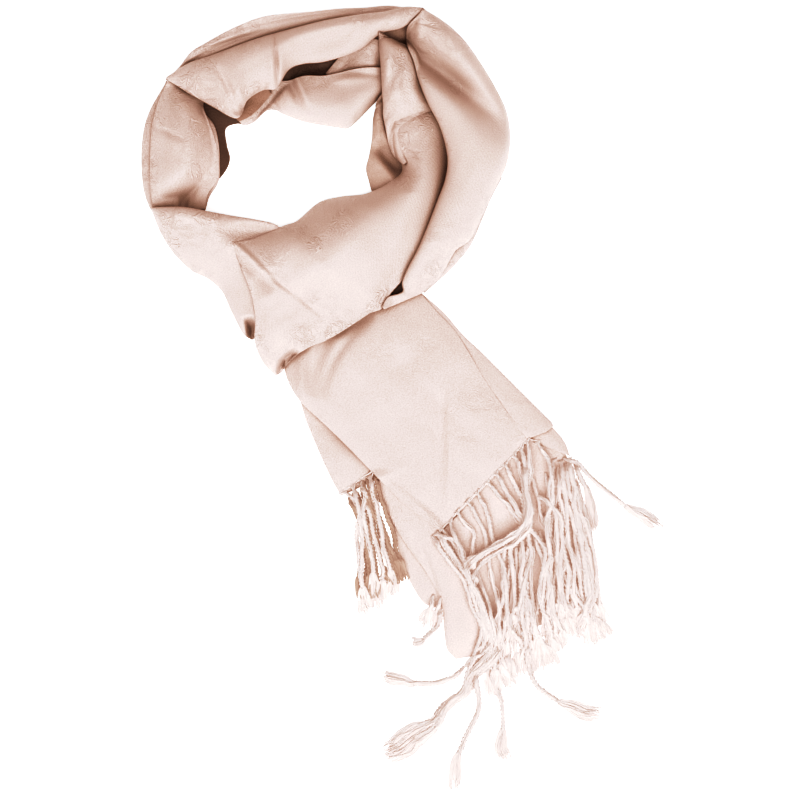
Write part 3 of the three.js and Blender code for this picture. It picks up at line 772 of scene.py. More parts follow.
UPPER_WRAP = [
    Stretch("loop_left_edge", [
        (-212, 300, -202, 290, 14, 12, 3), (-208, 285, -189, 275, 14, 13, 4),
        (-203, 262, -184, 256, 13, 12, 4), (-200, 240, -183, 236, 12, 11, 4),
        (-200, 222, -184, 218, 11, 10, 4), (-205, 205, -193, 203, 10, 9, 3),
        (-208, 190, -197, 190, 9, 8, 2),
    ], extra=True, seed=67),
    Stretch("loop_left", [
        (-231, 322, -188, 309, 14, 12, 4), (-235, 316, -199, 295, 16, 14, 12),
        (-243, 300, -193, 276, 16, 16, 22), (-250, 275, -187, 258, 16, 13, 29),
        (-252, 245, -184, 240, 16, 12, 31), (-252, 215, -185, 220, 16, 12, 28),
        (-250, 197, -195, 204, 12, 10, 14), (-246, 182, -198, 184, 8, 8, 3),
    ], [
        (-254, 272, -214, 256, 2, 3, 1.6), (-254, 264, -214, 250, 2, 7, -1),
        (-240, 262, -247, 196, -2, 4, 1.5), (-200, 236, -216, 192, 3, 9, 4),
        (-258, 182, -166, 248, -8, 15, 12), (-204, 290, -206, 206, 8, 7, 4),
        (-197, 280, -208, 192, 13, 1.5, 2.4), (-226, 318, -206, 282, 3, 7, 2.5),
    ], seed=71, fullness=0.85, peak=0.52),
    Stretch("loop_top", [
        (-236, 321, -234, 318, 24, 24, 1, 12), (-215, 334, -214, 306, 30, 26, 8, 8),
        (-195, 341, -190, 292, 32, 28, 12, 6), (-173, 349, -165, 280, 33, 28, 14, 6),
        (-157, 355, -155, 298, 34, 28, 14, 6), (-142, 360, -140, 308, 34, 28, 14, 6),
        (-128, 364, -126, 310, 34, 28, 14, 6), (-113, 368, -114, 328, 35, 29, 14, 6),
        (-98, 372, -100, 334, 35, 30, 13, 6), (-78, 377, -80, 336, 35, 30, 13, 6),
        (-55, 381, -58, 342, 36, 31, 12, 6), (-35, 384, -40, 350, 36, 32, 11, 6),
        (-17, 386, -22, 364, 38, 34, 9, 6), (2, 390, 0, 370, 41, 38, 6, 10),
        (20, 389, 19, 384, 44, 44, 1, 20),
    ], [
        (-131, 378, -125, 310, 2, 1.3, 2.6), (-127, 350, -124, 306, 1, 2.4, 3),
        (-137, 368, -132, 312, 4, 3.5, -1.5), (-163, 302, -157, 280, 0, 2.5, 5),
        (-168, 284, -136, 316, -3, 4.5, 14), (-188, 334, -164, 278, 4, 4, 4),
        (-215, 312, -176, 286, 4, 10, 3), (-203, 328, -8, 378, 8, 9, -2.5), (-122, 338, -24, 362, 4, 11, 6),
        (-112, 352, -30, 374, 0, 7, 2),
    ], seed=73, fullness=0.8, peak=0.48),
    Stretch("loop_lower", [
        (-251, 191, -247, 192, 22, 22, 1, 10), (-245, 174, -220, 192, 16, 31, 10),
        (-238, 160, -196, 188, 14, 33, 12), (-226, 143, -168, 183, 14, 32, 14),
        (-211, 129, -144, 179, 14, 34, 13), (-195, 121, -124, 173, 14, 34, 12),
        (-181, 109, -110, 155, 14, 36, 10), (-172, 90, -98, 122, 14, 36, 9),
        (-165, 76, -108, 92, 14, 30, 8), (-159, 65, -128, 76, 12, 16, 5), (-151, 60, -144, 65, 10, 10, 2),
    ], [
        (-156, 84, -153, 57, 4, 5, 14), (-184, 170, -112, 170, -3, 10, 10),
        (-236, 182, -160, 172, 4, 6, -2),
    ], seed=79, fullness=0.6),
    # A sheet in the mouth of the front wrap's pocket; its dark finish is painted shade.
    Stretch("loop_front_pocket", [
        (8, 126, -8, 130, 12, 12, 1), (4, 112, -12, 118, 12, 12, 1), (-2, 103, -20, 108, 12, 12, 1),
        (-12, 98, -26, 102, 11, 11, 1),
    ], extra=True, seed=101, roll=0.5, tuck=0.5),
    Stretch("loop_front", [
        (40, 304, 4, 296, 14, 12, 2), (46, 280, -8, 275, 22, 20, 8), (52, 252, -6, 250, 18, 18, 16),
        (50, 224, -1, 229, 17, 14, 24), (43, 198, -14, 217, 23, 14, 26), (33, 172, -37, 206, 26, 14, 27),
        (23, 148, -62, 203, 27, 13, 29), (0, 120, -84, 197, 24, 14, 33), (-13, 105, -105, 179, 24, 20, 30),
        (-21, 91, -115, 175, 24, 24, 27.5), (-33, 86, -125, 171, 24, 28, 25),
        (-47, 77, -147, 161, 25, 34, 18), (-64, 66, -168, 155, 25, 35, 14),
        (-79, 58, -161, 132, 25, 35, 12), (-90, 54, -151, 106, 25, 33, 11), (-99, 49, -147, 81, 25, 28, 11),
        (-107, 44, -148, 59, 23, 18, 12), (-114, 37, -140, 38, 18, 14, 11), (-121, 28, -127, 24, 12, 12, 3),
    ], [
        (-186, 172, -122, 110, 2, 2.6, -5.4), (-182, 157, -130, 106, 2, 4.5, 3.4),
        (2, 252, 18, 236, 2, 1.5, 1.6), (5, 244, 15, 240, 1, 1.4, 1.4), (6, 250, 20, 246, -1, 1.3, 1.2),
        (-142, 127, -78, 80, 3, 2.2, 2.4), (-134, 130, -76, 84, 3, 9, 1.6),
        (-104, 50, -126, 26, -3, 3.5, 12), (-31, 100, -3, 130, 2, 2, 1.2),
        (-90, 160, -20, 120, 8, 22, -2.5), (4, 262, 8, 206, -3, 9, 4),
    ], seed=83, fullness=0.9, peak=0.6, roll=3.2, tuck=-2.2, bridge=2, ripple=1),
    Stretch("loop_inner_right", [
        (4, 353, -24, 365, 24, 28, 3), (12, 345, -24, 352, 26, 26, 12), (18, 327, -22, 328, 26, 24, 17),
        (22, 312, -21, 306, 25, 22, 17), (28, 301, -20, 295, 24, 20, 14), (32, 290, -20, 284, 23, 18, 10),
        (8, 279, -18, 273, 20, 15, 5), (-3, 270, -16, 263, 16, 12, 4), (-4, 259, -14, 254, 11, 9, 3),
        (-1, 248, -9, 243, 8, 8, 2), (4, 237, 1, 234, 8, 8, 1),
    ], [
        (-2, 366, 6, 292, -3, 6, 4), (-3, 352, -20, 298, 2, 5, 3.5), (-17, 364, -14, 292, -2, 6, -3),
        (-14, 286, 44, 297, -2, 2.2, 1.6), (-3, 284, -12, 244, -6, 2.2, 2),
        (-12, 284, -16, 250, -3, 3, -1.6),
    ], seed=61, fullness=0.8, peak=0.6, bridge=1, roll=-2, tuck=0.2),
    Stretch("loop_right", [
        (20, 388, 17, 384, 44, 44, 1, 30), (42, 375, 4, 368, 30, 34, 14), (61, 358, 5, 351, 22, 34, 22),
        (79, 333, 11, 336, 20, 32, 26), (95, 306, 16, 316, 19, 32, 27), (104, 285, 25, 294, 19, 32, 27),
        (107, 260, 37, 270, 19, 33, 25), (103, 234, 44, 242, 19, 34, 22), (92, 211, 42, 220, 19, 34, 20),
        (80, 186, 34, 198, 19, 34, 19), (67, 160, 24, 172, 18, 34, 17), (52, 148, 14, 149, 17, 33, 15),
        (38, 124, 4, 130, 16, 30, 12), (27, 114, -1, 117, 14, 26, 9), (18, 106, 0, 109, 14, 23, 5),
        (7, 101, -4, 106, 15, 22, 3), (-7, 95, -15, 102, 16, 23, 2), (-19, 90, -21, 93, 18, 22, 0.5),
    ], [
        (-28, 386, 112, 258, 2, 14, 24), (-14, 368, 66, 298, 0, 8, 6), (-4, 332, 84, 268, 6, 10, -3),
        (16, 388, 88, 318, 6, 9, -5), (18, 388, 15, 356, 0, 3.5, -3),
    ], seed=89, fullness=0.5, peak=0.45, roll=4, tuck=0, ripple=1),
]


# ---------------------------------------------------------------- fringes
@dataclass
class Bundle:
    """Twisted fringe cords that run side by side, from the hem to their loose ends."""

    way: Row  # x and y in turn of the places that it passes, the first on the hem
    cords: int  # how many
    half: float  # half the bundle's width
    loose: float  # length of the frayed ends
    spread: float  # half the width of a frayed end
    seed: int  # which small bends
    hem: tuple[float, float] | None = None  # the hem's direction, or None where the root is hidden


@dataclass(frozen=True)
class Wander:
    """How a cord strays sideways: by a noise along it, which grows from nothing at the root."""

    height: float
    length: float  # of a wave
    onset: float  # where along the cord it has its full height
    seed: int

    def along(self, run: Array, cord_seed: int, k: int) -> Array:
        """Returns how far cord k of a bundle strays, at these distances along it."""
        noise = soft_noise(run / self.length, np.full(len(run), 0.5), cord_seed * self.seed + k)
        return self.height * noise * np.clip(run / self.onset, 0, 1)


SWAY, KINK, STRAY = Wander(2.8, 27, 30, 37), Wander(1.1, 7.5, 8, 53), Wander(2.2, 16, 20, 91)


@dataclass
class Fringe:
    """A joined mesh of cords, laid on the heap."""

    name: str
    nodes: tuple[str, ...]  # the model's nodes that it stands for
    bundles: list[Bundle]
    hems: list[Row] = field(default_factory=list)  # ends of the hems along which a thread runs
    radius: float = 3.0  # of a cord
    sides: int = 10  # points round it
    step: float = 1.6  # from ring to ring
    pitch: float = 8.0  # one turn of the two plies
    ply_offset: float = 0.46  # how far a ply's middle stands off the cord's, as a share of its radius
    ply_radius: float = 0.56  # of a ply, as a share of the cord's
    strands: int = 15  # in a frayed end
    strand_radius: float = 0.9
    fibres: int = 2  # loose ones round each cord
    fibre_radius: float = 0.42
    root_radius: float = 0.62  # of a hem's thread where a cord starts
    weft_radius: float = 0.55  # of a hem's last weft thread
    root_reach: float = 3.8  # how far along the hem a cord gathers its threads
    root_length: float = 9.0  # how far from the hem they have met
    pressed: float = 0.65  # how much of its thickness a crossed cord keeps
    lowest: float = 0.05  # above the table
    heap: Heap | None = None  # what lies below, with the cords laid so far
    bare: Array | None = None  # the heap's heights before the first cord
    parts: list[Array] = field(default_factory=list)  # rings of all tubes laid so far

    def ground(self, places: Array) -> Array:
        """Returns the heights of what lies below the cords, at rows of x and y."""
        return self.heap.sample(self.bare, *places.T)

    def sweep(self, path: Array, radii: Array) -> Array:
        """Carries rings of given radii along a path.

        A ring stands square to the path: its first axis is level and its second points up.

        Args:
            path: Points along the middle.
            radii: Rings by points, the distance of each ring point from the path.

        Returns:
            Rings by points by three.
        """
        ahead = unit(np.gradient(path, axis=0))
        level = unit(np.stack([ahead[:, 1], -ahead[:, 0], np.zeros(len(path))], axis=1))
        raised = np.cross(level, ahead)
        turn = np.linspace(0, 2 * np.pi, radii.shape[1], endpoint=False)[None, :, None]
        offset = level[:, None] * np.cos(turn) + raised[:, None] * np.sin(turn)
        return path[:, None] + offset * radii[..., None]

    def add(self, places: Array, height: Array, radii: Array) -> None:
        """Adds a tube whose middle passes over places at these heights."""
        self.parts.append(self.sweep(np.column_stack([places, height]), radii))

    def plies(self, run: Array, radius: Array) -> Array:
        """Works out a two-ply cord's ring radii.

        Seen end on, the cord is two circles whose middles stand ply_offset of its radius off its
        own middle, each ply_radius of it wide, and the pair turns once in each pitch.

        Args:
            run: Distance along the cord of each ring.
            radius: The cord's radius at each ring.

        Returns:
            Rings by points.
        """
        turn = np.linspace(0, 2 * np.pi, self.sides, endpoint=False)[None, :]
        lean = turn - (2 * np.pi * run / self.pitch)[:, None]
        waist = np.sqrt(self.ply_radius**2 - (self.ply_offset * np.sin(lean)) ** 2)
        return radius[:, None] * (self.ply_offset * np.abs(np.cos(lean)) + waist)

    def settle(self, places: Array, radius: float) -> Array:
        """Finds how high a cord lies: on the heap, stiff enough to bridge its small gaps.

        Args:
            places: The cord's way, seen from above.
            radius: Its radius.

        Returns:
            Heights of its middle.
        """
        rounds = 16
        reach = np.array([-0.6, 0, 0.6]) * radius
        near = [places + (a, b) for a in reach for b in reach]
        cloth = np.maximum.reduce([self.ground(at) for at in near])
        cords = np.maximum.reduce([self.heap.sample(self.heap.height, *at.T) for at in near])
        rest = cloth + (cords - cloth) * self.pressed + radius
        height = rest
        for _ in range(rounds):
            wide = np.concatenate([height[:1], height, height[-1:]])
            height = np.maximum(rest, (wide[:-2] + wide[2:]) / 2)
        return height

    def cord(self, bundle: Bundle, k: int) -> None:
        """Lays one cord, with its gathered root, its loose fibres and its frayed end.

        Args:
            bundle: The bundle that it is in.
            k: Its number there.
        """
        rng = np.random.default_rng(bundle.seed * 101 + k)
        way = np.array(bundle.way, float).reshape(-1, 2)
        at = even_rows(way, self.step)
        middle = through_rows(way, at)
        side = rightward(middle)
        run = np.arange(len(at)) * self.step
        # The bundle's cords start side by side in order, and change places on their way.
        order = np.linspace(-1, 1, bundle.cords) if bundle.cords > 1 else np.zeros(1)
        swapped = np.random.default_rng(bundle.seed * 7).permutation(order)
        share = order[k] + (swapped[k] - order[k]) * np.clip(run / (run[-1] + 1) * 1.6 - 0.2, 0, 1)
        off = share * bundle.half + SWAY.along(run, bundle.seed, k) + KINK.along(run, bundle.seed, k)
        place = middle + side * off[:, None]
        radius = self.radius * rng.uniform(0.88, 1.14)
        twisted = max(4, int(len(at) * (1 - bundle.loose * rng.uniform(0.8, 1.2) / max(run[-1], 1))))
        eased = np.clip(run / self.root_length, 0, 1)
        height = (self.ground(place[:1])[0] + 0.2) * (1 - eased) + self.settle(place, radius) * eased
        row = np.full(len(at), 0.5)
        lumps = 1 + 0.13 * soft_noise(run / 9, row, bundle.seed * 71 + k)
        thick = radius * lumps * (0.5 + 0.5 * eased)
        path = np.column_stack([place, height])
        body = path[: twisted + 1]
        wound = run[: twisted + 1] * rng.uniform(0.85, 1.15) + rng.uniform(0, self.pitch)
        self.parts.append(self.sweep(body, self.plies(wound, thick[: twisted + 1])))
        upper_half = self.sweep(body, np.repeat(thick[: twisted + 1, None], 8, axis=1))[:, 0:5]
        self.heap.lay(upper_half)
        self.frayed(path[twisted - 1 :], bundle, radius, rng)
        for fibre in range(self.fibres):
            wide = STRAY.along(run, bundle.seed, 7 * k + fibre)
            lift = radius * (0.9 + 0.5 * soft_noise(run / 11, row, bundle.seed * 97 + 7 * k + fibre))
            loose = np.column_stack([place + side * (wide * 1.8)[:, None], height + lift])[4::2]
            self.parts.append(self.sweep(loose, np.full((len(loose), 5), self.fibre_radius)))
        if bundle.hem:
            gathered = min(len(path) - 1, round(self.root_length / self.step))
            self.root(path[0], np.array(bundle.hem), path[gathered], rng)

    def frayed(self, path: Array, bundle: Bundle, radius: float, rng: np.random.Generator) -> None:
        """Spreads the loose strands at a cord's end.

        Each strand leaves the cord's middle, opens out as the power 0.8 of the way along, and waves.

        Args:
            path: The last stretch of the cord's middle.
            bundle: The bundle that it is in.
            radius: The cord's radius.
            rng: Where its random sizes come from.
        """
        side = rightward(path[:, :2])
        t = np.linspace(0, 1, len(path))
        spread = bundle.spread * rng.uniform(0.75, 1.25)
        bend = rng.uniform(-1, 1) * 2.5 * t**2
        for n in range(self.strands):
            fan = 2 * (n + rng.uniform(0.0, 1.0)) / self.strands - 1
            wave = np.sin(t * rng.uniform(3, 10) + rng.uniform(0, 6.3)) * rng.uniform(0.2, 1.0) * t
            off = fan * (radius * 0.65 * (1 - t) + spread * np.sin(1.9 * t) ** 0.8) + wave + bend
            xy = path[:, :2] + side * off[:, None]
            low = self.ground(xy)
            pile = (1 - abs(fan)) * rng.uniform(0.2, 1.0) * radius * 1.3
            z = low + (path[:, 2] - low) * (1 - t) ** 0.8 + self.strand_radius + pile * t**0.5
            keep = max(4, int(len(path) * rng.uniform(0.7, 1.0)))
            thin = self.strand_radius * rng.uniform(0.8, 1.3) * (1 - 0.7 * t[:keep] ** 4)
            self.add(xy[:keep], z[:keep], np.repeat(thin[:, None], 5, axis=1))

    def root(self, hem: Array, along: Array, end: Array, rng: np.random.Generator) -> None:
        """Gathers the hem's threads into the start of a cord, as a fan of nearly straight threads.

        Args:
            hem: The cord's place on the hem.
            along: The hem's direction.
            end: Where the threads meet.
            rng: Where its random sizes come from.
        """
        count, pinch, behind = 6, 1.2, 1.2  # threads and their points, their waist, and their start
        t = np.linspace(0, 1, count)
        away = unit(end[:2] - hem[:2])
        for share in np.linspace(-1, 1, count):
            start = hem[:2] + along * share * self.root_reach * rng.uniform(0.8, 1.1) - away * behind
            xy = start * (1 - t)[:, None] + end[:2] * t[:, None]
            xy = xy - along * (share * pinch * np.sin(np.pi * t))[:, None]
            low = self.ground(xy)
            z = np.maximum(low + 0.5, low * (1 - t) + end[2] * t)
            self.add(xy, z, np.full((count, 4), self.root_radius * rng.uniform(0.8, 1.2)))

    def hem_thread(self, ends: Row, seed: int) -> None:
        """Lays the last weft threads along a hem, wandering by a noise across it.

        Args:
            ends: x and y of both ends of the hem.
            seed: Which wander.
        """
        step, wave, threads = 1.4, 5, 2
        start, stop = np.array(ends[:2]), np.array(ends[2:])
        length = np.linalg.norm(stop - start)
        t = np.linspace(0, 1, max(8, int(length / step)))
        side = np.array([start[1] - stop[1], stop[0] - start[0]]) / length
        for line in range(threads):
            noise = soft_noise(t * length / wave, np.full(len(t), 0.5), seed + line)
            wander = 0.9 * noise + 0.6 + 0.8 * line
            xy = start * (1 - t)[:, None] + stop * t[:, None] + side * wander[:, None]
            z = self.ground(xy)
            for _ in range(3):
                z = np.maximum(z, np.convolve(np.pad(z, 2, mode="edge"), np.ones(5) / 5, mode="valid"))
            self.add(xy, z + 0.1, np.full((len(t), 4), self.weft_radius))

    def build(self, heap: Heap, bare: Array, finish: Material) -> Piece:
        """Args:
            heap: What lies below, with the cords laid so far.
            bare: The heap's heights before the first cord.
            finish: The fringe's material.

        Returns:
            The piece.
        """
        self.heap, self.bare = heap, bare
        for number, ends in enumerate(self.hems):
            self.hem_thread(ends, 600 + 10 * number)
        for bundle in self.bundles:
            for k in range(bundle.cords):
                self.cord(bundle, k)
        faces, start = [], 0
        for rings in self.parts:
            count, around = rings.shape[:2]
            ends = np.arange(around) + start
            faces += tube_faces(count, around, start)[:, ::-1].tolist()
            faces += [ends.tolist(), (ends[::-1] + (count - 1) * around).tolist()]
            start += count * around
        points = np.vstack([rings.reshape(-1, 3) for rings in self.parts])
        points[:, 2] = np.maximum(points[:, 2], self.lowest)
        obj = make_object(self.name, points, faces, None)
        obj.data.materials.append(finish)
        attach(obj, "root")
        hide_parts(*self.nodes)
        log.info("%s: %d cords and strands, %d faces", self.name, len(self.parts), len(faces))
        return obj


def bundles(seed: int, rows: list[tuple]) -> list[Bundle]:
    """Makes a bundle of each row, and numbers their seeds on from the first."""
    return [Bundle(*row[:5], seed + i, *row[5:]) for i, row in enumerate(rows)]


# The tables of cords have the columns way, cords, half, loose, spread and, where the root shows, hem.
# Directions of the hems: of the upper tail's flap, along its slanting end and past that end's corner.
FLAP, SLANT, LEVEL = (0.84, 0.54), (0.69, 0.73), (0.95, 0.3)

# The lower tail, under the upper one.
BACK_ROWS = [
    ((34, -196, 31, -208, 27, -218, 24, -229), 2, 4, 20, 6),
    ((88, -230, 90, -258, 90, -280, 92, -300), 3, 6, 26, 5),
    ((84, -215, 94, -248, 100, -272, 104, -290), 3, 8, 26, 5),
    ((106, -205, 112, -236, 116, -258, 118, -278), 4, 9, 26, 6),
    ((124, -195, 130, -220, 135, -248, 138, -272), 4, 9, 28, 7),
    ((146, -180, 150, -205, 154, -225, 158, -242), 4, 10, 26, 7),
    ((166, -150, 172, -185, 180, -215, 188, -236), 4, 12, 30, 8),
]

# The flap of the upper tail: what lies behind in its shade, and the rest.
LEFT_BEHIND = [
    ((-46, -92, -40, -112, -36, -140, -34, -170, -32, -200), 5, 9, 22, 5),
    ((-36, -80, -28, -105, -20, -135, -10, -165, -6, -184), 5, 8, 20, 4),
]
LEFT_ROWS = [
    ((-59, -92, -50, -98, -46, -106, -45, -125, -43, -160, -42, -182, -38, -217), 1, 0, 34, 5, FLAP),
    ((-50, -86, -47, -96, -45, -112, -41, -140, -42, -170, -37, -215), 1, 0, 32, 6, FLAP),
    ((-43, -83, -37, -96, -39, -110, -37, -132, -33, -151, -30, -175, -27, -212), 1, 0, 34, 5, FLAP),
    ((-33, -76, -31, -92, -27, -110, -23, -128, -19, -146, -13, -167, -10, -200), 1, 0, 30, 6, FLAP),
    ((-40, -98, -34, -112, -30, -130, -26, -150, -22, -172, -20, -208), 1, 0, 34, 6),
]
LEFT_HEMS = [(-64, -95, -50, -86), (-50, -86, -42, -80), (-42, -80, -30, -72)]

# The upper tail: spread at the hem, caught in a swoop, and loose below.
FRONT_BEHIND = [
    ((120, -60, 132, -90, 137, -117, 143, -130, 149, -143, 152, -165, 150, -190, 146, -218), 1, 0, 16, 4.2),
    ((146, -72, 150, -98, 146, -128, 146, -160, 142, -190, 144, -215, 150, -240), 2, 4, 17, 6),
    ((158, -76, 160, -105, 158, -135, 163, -165, 160, -195, 158, -222), 2, 4, 17, 6),
    ((158, -66, 160, -92, 164, -118, 171, -145, 176, -168, 180, -190, 185, -215, 194, -246), 2, 3, 21, 6.8),
    ((162, -64, 165, -88, 171, -110, 178, -135, 184, -160, 188, -185, 193, -210, 203, -240), 2, 3, 21, 6),
    ((168, -80, 176, -110, 182, -140, 187, -170, 190, -200, 192, -226), 3, 5, 22, 6.8),
    ((108, -140, 106, -165, 104, -192, 100, -228, 95, -262), 3, 6, 19, 5.1),
    ((126, -140, 122, -170, 123, -205, 127, -235, 130, -266), 3, 6, 20, 6),
    ((136, -130, 142, -160, 148, -195, 150, -225, 156, -252), 3, 6, 20, 6),
    ((165, -63, 168, -85, 174, -106, 181, -128, 187, -150, 190, -170, 190, -190, 184, -208,
      174, -230), 2, 2.5, 21, 5.1),
]
FRONT_ROWS = [
    # the left bundle, from the corner
    ((31, -134, 43, -152, 55, -172, 65, -192, 73, -212, 79, -232, 75, -255, 66, -272), 2, 2.6, 16, 4.2),
    ((37, -130, 49, -148, 59, -166, 69, -188, 77, -210, 84, -235, 80, -260), 2, 2.6, 15, 4.2),
    ((33, -133, 43, -137, 54, -141, 60, -154, 66, -176, 75, -200, 83, -226,
      86, -252), 1, 0, 15, 3.4, SLANT),
    # from the hem
    ((47, -121, 50, -134, 58, -148, 62, -164, 67, -180, 77, -202, 87, -226,
      90, -252), 1, 0, 15, 3.4, SLANT),
    ((54, -111, 62, -125, 69, -133, 71, -154, 76, -178, 85, -202, 90, -226,
      95, -256), 1, 0, 15, 3.4, SLANT),
    ((64, -101, 73, -116, 81, -134, 84, -150, 88, -172, 93, -196, 98, -222,
      98, -250), 1, 0, 16, 3.4, SLANT),
    ((74, -92, 82, -109, 87, -126, 92, -144, 98, -166, 101, -190, 104, -215,
      110, -246), 1, 0, 16, 4.2, SLANT),
    ((84, -82, 96, -97, 108, -111, 119, -124, 118, -138, 120, -160, 121, -184, 127, -204, 131, -226,
      134, -256), 1, 0, 19, 5.1, SLANT),
    ((93, -73, 102, -88, 112, -106, 120, -121, 115, -136, 108, -150, 110, -175, 112, -200,
      109, -228), 1, 0, 16, 4.2, SLANT),
    ((102, -64, 109, -80, 117, -95, 121, -112, 122, -128, 127, -141, 128, -155, 123, -172, 118, -195,
      114, -222), 1, 0, 16, 4.2, SLANT),
    ((111, -55, 118, -70, 121, -85, 123, -106, 124, -126, 133, -138, 140, -151, 138, -166, 136, -186,
      139, -206, 146, -228, 150, -256), 1, 0, 19, 5.1, SLANT),
    ((118, -48, 122, -66, 124, -90, 126, -110, 124, -122, 112, -135, 98, -144, 82, -152, 70, -160,
      64, -172), 1, 0, 10, 4.2, SLANT),
    ((124, -41, 127, -66, 126, -90, 129, -112, 127, -128, 114, -142, 98, -150, 82, -158, 72, -170,
      68, -186), 1, 0, 11, 5.1, SLANT),
    ((123, -62, 124, -86, 128, -108, 124, -120, 114, -131, 101, -140, 86, -148, 72, -156,
      60, -162), 1, 0, 9, 3.4),
    ((121, -66, 122, -92, 125, -112, 119, -126, 104, -139, 90, -146, 76, -155, 63, -170), 1, 0, 12, 4),
    # right of the swoop
    ((150, -60, 148, -78, 147, -100, 151, -122, 154, -150, 156, -178, 160, -200,
      170, -220), 1, 0, 16, 4.2, LEVEL),
    ((134, -42, 141, -53, 146, -64, 149, -84, 148, -104, 144, -128, 146, -152, 144, -176, 139, -200,
      143, -230), 1, 0, 16, 4.2, LEVEL),
    ((130, -92, 143, -101, 152, -109, 158, -120, 160, -138, 157, -162, 159, -188, 165, -207,
      176, -222), 1, 0, 15, 4.2),
    ((158, -61, 160, -84, 163, -110, 164, -138, 168, -165, 172, -190, 180, -207,
      190, -232), 1, 0, 17, 5.1, LEVEL),
    ((165, -59, 168, -82, 172, -106, 178, -130, 182, -152, 186, -175, 187, -192, 180, -210,
      172, -232), 1, 0, 17, 5.1, LEVEL),
]
FRONT_HEMS = [(37, -132, 125, -40), (125, -40, 138, -42)]

# Cords that lie apart from the rest.
STRAY_CORDS = {
    "cord_right_long": ((160, -58, 176, -63, 188, -76, 199, -88, 219, -103, 240, -117,
        259, -131), 1, 0, 42, 5),
    "cord_right_short": ((171, -62, 177, -80, 183, -94, 190, -112, 195, -133), 1, 0, 38, 4),
    "cord_left_small": ((38, -206, 37, -222, 28, -232, 17, -241, 8, -243), 1, 0, 14, 3.5),
    "cord_left_long": ((62, -266, 50, -277, 36, -282, 18, -284, 0, -281, -24, -276), 1, 0, 30, 4.5),
    "cord_bundle": ((96, -240, 84, -258, 70, -272, 61, -290, 44, -304, 32, -322, 12, -334, -4, -347,
        -20, -353), 6, 7, 52, 6),
    "cord_low_left": ((72, -270, 75, -290, 77, -305, 70, -324, 58, -342, 54, -362, 55, -391), 1, 0, 42, 5),
    "cord_low_middle": ((86, -268, 92, -290, 99, -306, 101, -325, 100, -340, 102, -362), 1, 0, 28, 7),
    "cord_low_right": ((126, -240, 124, -262, 128, -277, 138, -291, 157, -304, 178, -310,
        201, -316), 1, 0, 42, 6.5),
}


def fringe_pieces() -> list[Fringe]:
    """Lists the fringes, from the bottom of the heap up.

    Returns:
        The fringes; of two halves the lower one comes first.
    """
    front = bundles(40, FRONT_BEHIND + FRONT_ROWS)
    half = len(FRONT_BEHIND)
    return [
        Fringe("fringe_back_cords", ("fringe_back",), bundles(2, BACK_ROWS)),
        Fringe("fringe_left_lower_cords", (), bundles(11, LEFT_BEHIND)),
        Fringe("fringe_left_cords", ("fringe_left",), bundles(13, LEFT_ROWS), LEFT_HEMS),
        Fringe("fringe_front_lower_cords", (), front[:half]),
        Fringe("fringe_front_cords", ("fringe_front",), front[half:], FRONT_HEMS),
        *(
            Fringe(name + "_yarn", (name,), [Bundle(*row, 80 + i)], radius=3.3, strands=24)
            for i, (name, row) in enumerate(STRAY_CORDS.items())
        ),
    ]


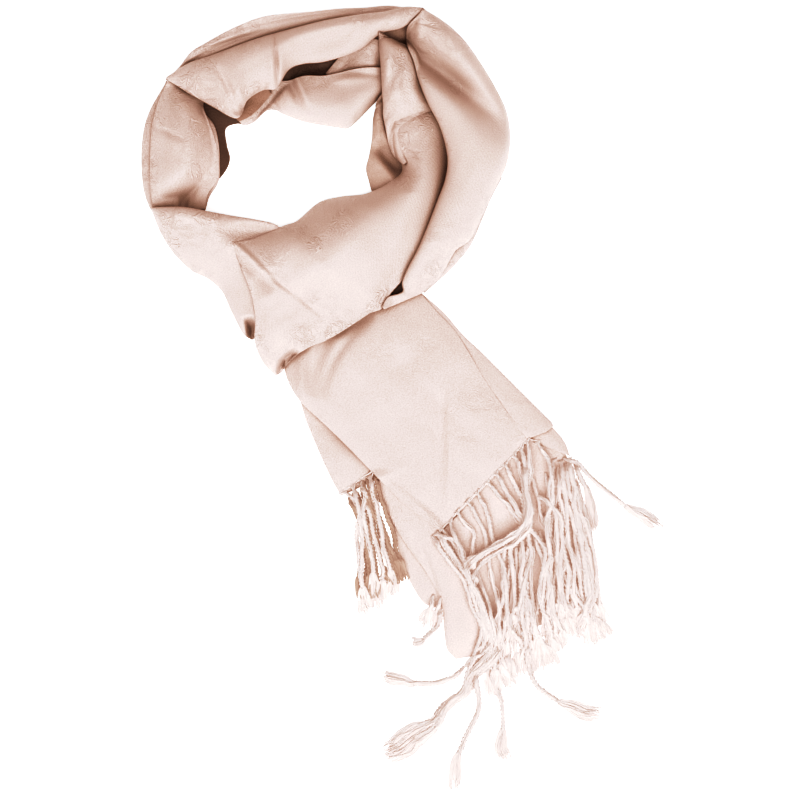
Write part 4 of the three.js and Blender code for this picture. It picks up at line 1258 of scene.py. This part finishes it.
# ---------------------------------------------------------------- studio
@dataclass(frozen=True)
class Studio:
    """A plain pale table seen from straight above, in soft light from the lower right."""

    view_mm: float = 800.0  # side of the square that the camera frames
    centre_x: float = -3.0  # middle of that square
    distance: float = 5.0  # height of the camera
    table_m: float = 6.0  # side of the table
    glow: float = 0.7  # light that the table gives off, so that it comes out white
    room_light: float = 0.4  # strength of the light from all round

    def lamp(self, name: str, place: Row, size: float, watts: float) -> None:
        """Adds a square lamp that faces the stole.

        Args:
            name: Its name.
            place: Where it hangs.
            size: Its side.
            watts: Its power.
        """
        data = bpy.data.lights.new(name, "AREA")
        data.shape, data.size, data.energy = "SQUARE", size, watts
        obj = bpy.data.objects.new(name, data)
        obj.location = place
        obj.rotation_euler = (-obj.location).to_track_quat("-Z", "Y").to_euler()
        bpy.context.scene.collection.objects.link(obj)

    def build(self) -> None:
        """Makes the camera, the table, the lamps and the room light."""
        scene = bpy.context.scene
        data = bpy.data.cameras.new("camera")
        data.lens = data.sensor_width * self.distance / (self.view_mm * MM)
        data.clip_end = 50
        camera = bpy.data.objects.new("camera", data)
        camera.location = (self.centre_x * MM, 0, self.distance)
        scene.collection.objects.link(camera)
        scene.camera = camera
        corners = np.array([(-1, -1, 0), (1, -1, 0), (1, 1, 0), (-1, 1, 0)]) * self.table_m / MM
        table_top = make_object("table_top", corners - (0, 0, 0.1), [[0, 1, 2, 3]], None)
        white = linear("#ffffff")
        matt = {"Base Color": white, "Roughness": 0.9}
        matt |= {"Emission Color": white, "Emission Strength": self.glow}
        table_top.data.materials.append(Shader("pale_table").finish(matt))
        self.lamp("key_lamp", (0.55, -1.15, 2.1), 2.2, 46)
        self.lamp("fill_lamp", (-1.2, -0.9, 2.1), 1.8, 17)
        scene.world = bpy.data.worlds.new("room")
        scene.world.use_nodes = True
        sky = scene.world.node_tree.nodes["Background"].inputs
        sky[0].default_value = linear("#fffaf8")
        sky[1].default_value = self.room_light
        self.tone()

    def tone(self) -> None:
        """Sets a warm print tone: green and blue fall off faster than red below the bright levels.

        White stays white, and so does nearly all of the table.
        """
        settings = bpy.context.scene.view_settings
        settings.view_transform = "Standard"
        settings.use_curve_mapping = True
        green, blue = settings.curve_mapping.curves[1], settings.curve_mapping.curves[2]
        for row in table(GRADE, PRINT_TONE):
            green.points.new(row["level"], row["green"])
            blue.points.new(row["level"], row["blue"])
        settings.curve_mapping.update()


# Rows of GRADE.
PRINT_TONE = [
    (0.08, 0.040, 0.027), (0.18, 0.092, 0.060), (0.32, 0.183, 0.138), (0.44, 0.295, 0.240),
    (0.55, 0.430, 0.390), (0.69, 0.635, 0.625), (0.76, 0.745, 0.755), (0.83, 0.830, 0.830),
]


# ---------------------------------------------------------------- the whole stole
# Finishes with painted shade, for cloth deep in a fold or pocket: ground, hollow and reach_mm.
SHADE_PAINTED_FINISHES = {
    "loop_left_inner": ("pashmina_deep_painted_shade", "#403834", "#1c1816"),
    "loop_front_pocket": ("pashmina_pocket_painted_shade", "#5a4d46", "#241f1c"),
    "loop_top_pocket": ("pashmina_top_pocket_painted_shade", "#a8958c", "#1c1816", 60.0),
    "loop_inner_right_low": ("pashmina_inside_painted_shade", "#d6c9c4", "#332b27", 60.0),
}


def main() -> None:
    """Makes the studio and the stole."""
    logging.basicConfig(level=logging.INFO, format="%(name)s %(message)s")
    Studio().build()
    heap = Heap()
    cloth = PashminaFinish().material()
    inside = {name: PashminaFinish(*row).material() for name, row in SHADE_PAINTED_FINISHES.items()}
    # Painted light: the low tail's hollow colour is a touch lighter than its ground, so its folds come out
    # slightly lighter.
    low_tail = PashminaFinish("pashmina_low_tail", hollow="#e6dcd9", figure=0.12).material()
    # Painted shadow: the high tail darkens within 15 mm of a higher neighbour's edge.
    high_tail = PashminaFinish("pashmina_high_tail", "#e3d8d5", "#8a7368", 15.0, figure=0.12).material()
    # The yarns differ in their painted glow; the shaded one is a darker copy for the cords behind, a
    # painted shade.
    massed = CordFinish().material()
    apart = CordFinish("fringe_yarn_apart", "#ece6e5", "#ddd3d0", 0.07).material()
    shaded = CordFinish("fringe_yarn_shaded", "#cbbfb9", "#b3a49c", 0.05).material()
    yarns = {"fringe_left_lower_cords": shaded, "fringe_left_cords": massed, "fringe_back_cords": massed}
    yarns |= {"fringe_front_lower_cords": massed, "fringe_front_cords": massed}
    sheets = Layers(LOWER_TAIL, low_tail).build(heap) + Layers(UPPER_TAIL, high_tail).build(heap)
    bare = heap.height.copy()
    fringes = {f.name: f.build(heap, bare, yarns.get(f.name, apart)) for f in fringe_pieces()}
    sheets += Layers(LOWER_WRAP + UPPER_WRAP, cloth, inside).build(heap)


if __name__ == "__main__":
    main()
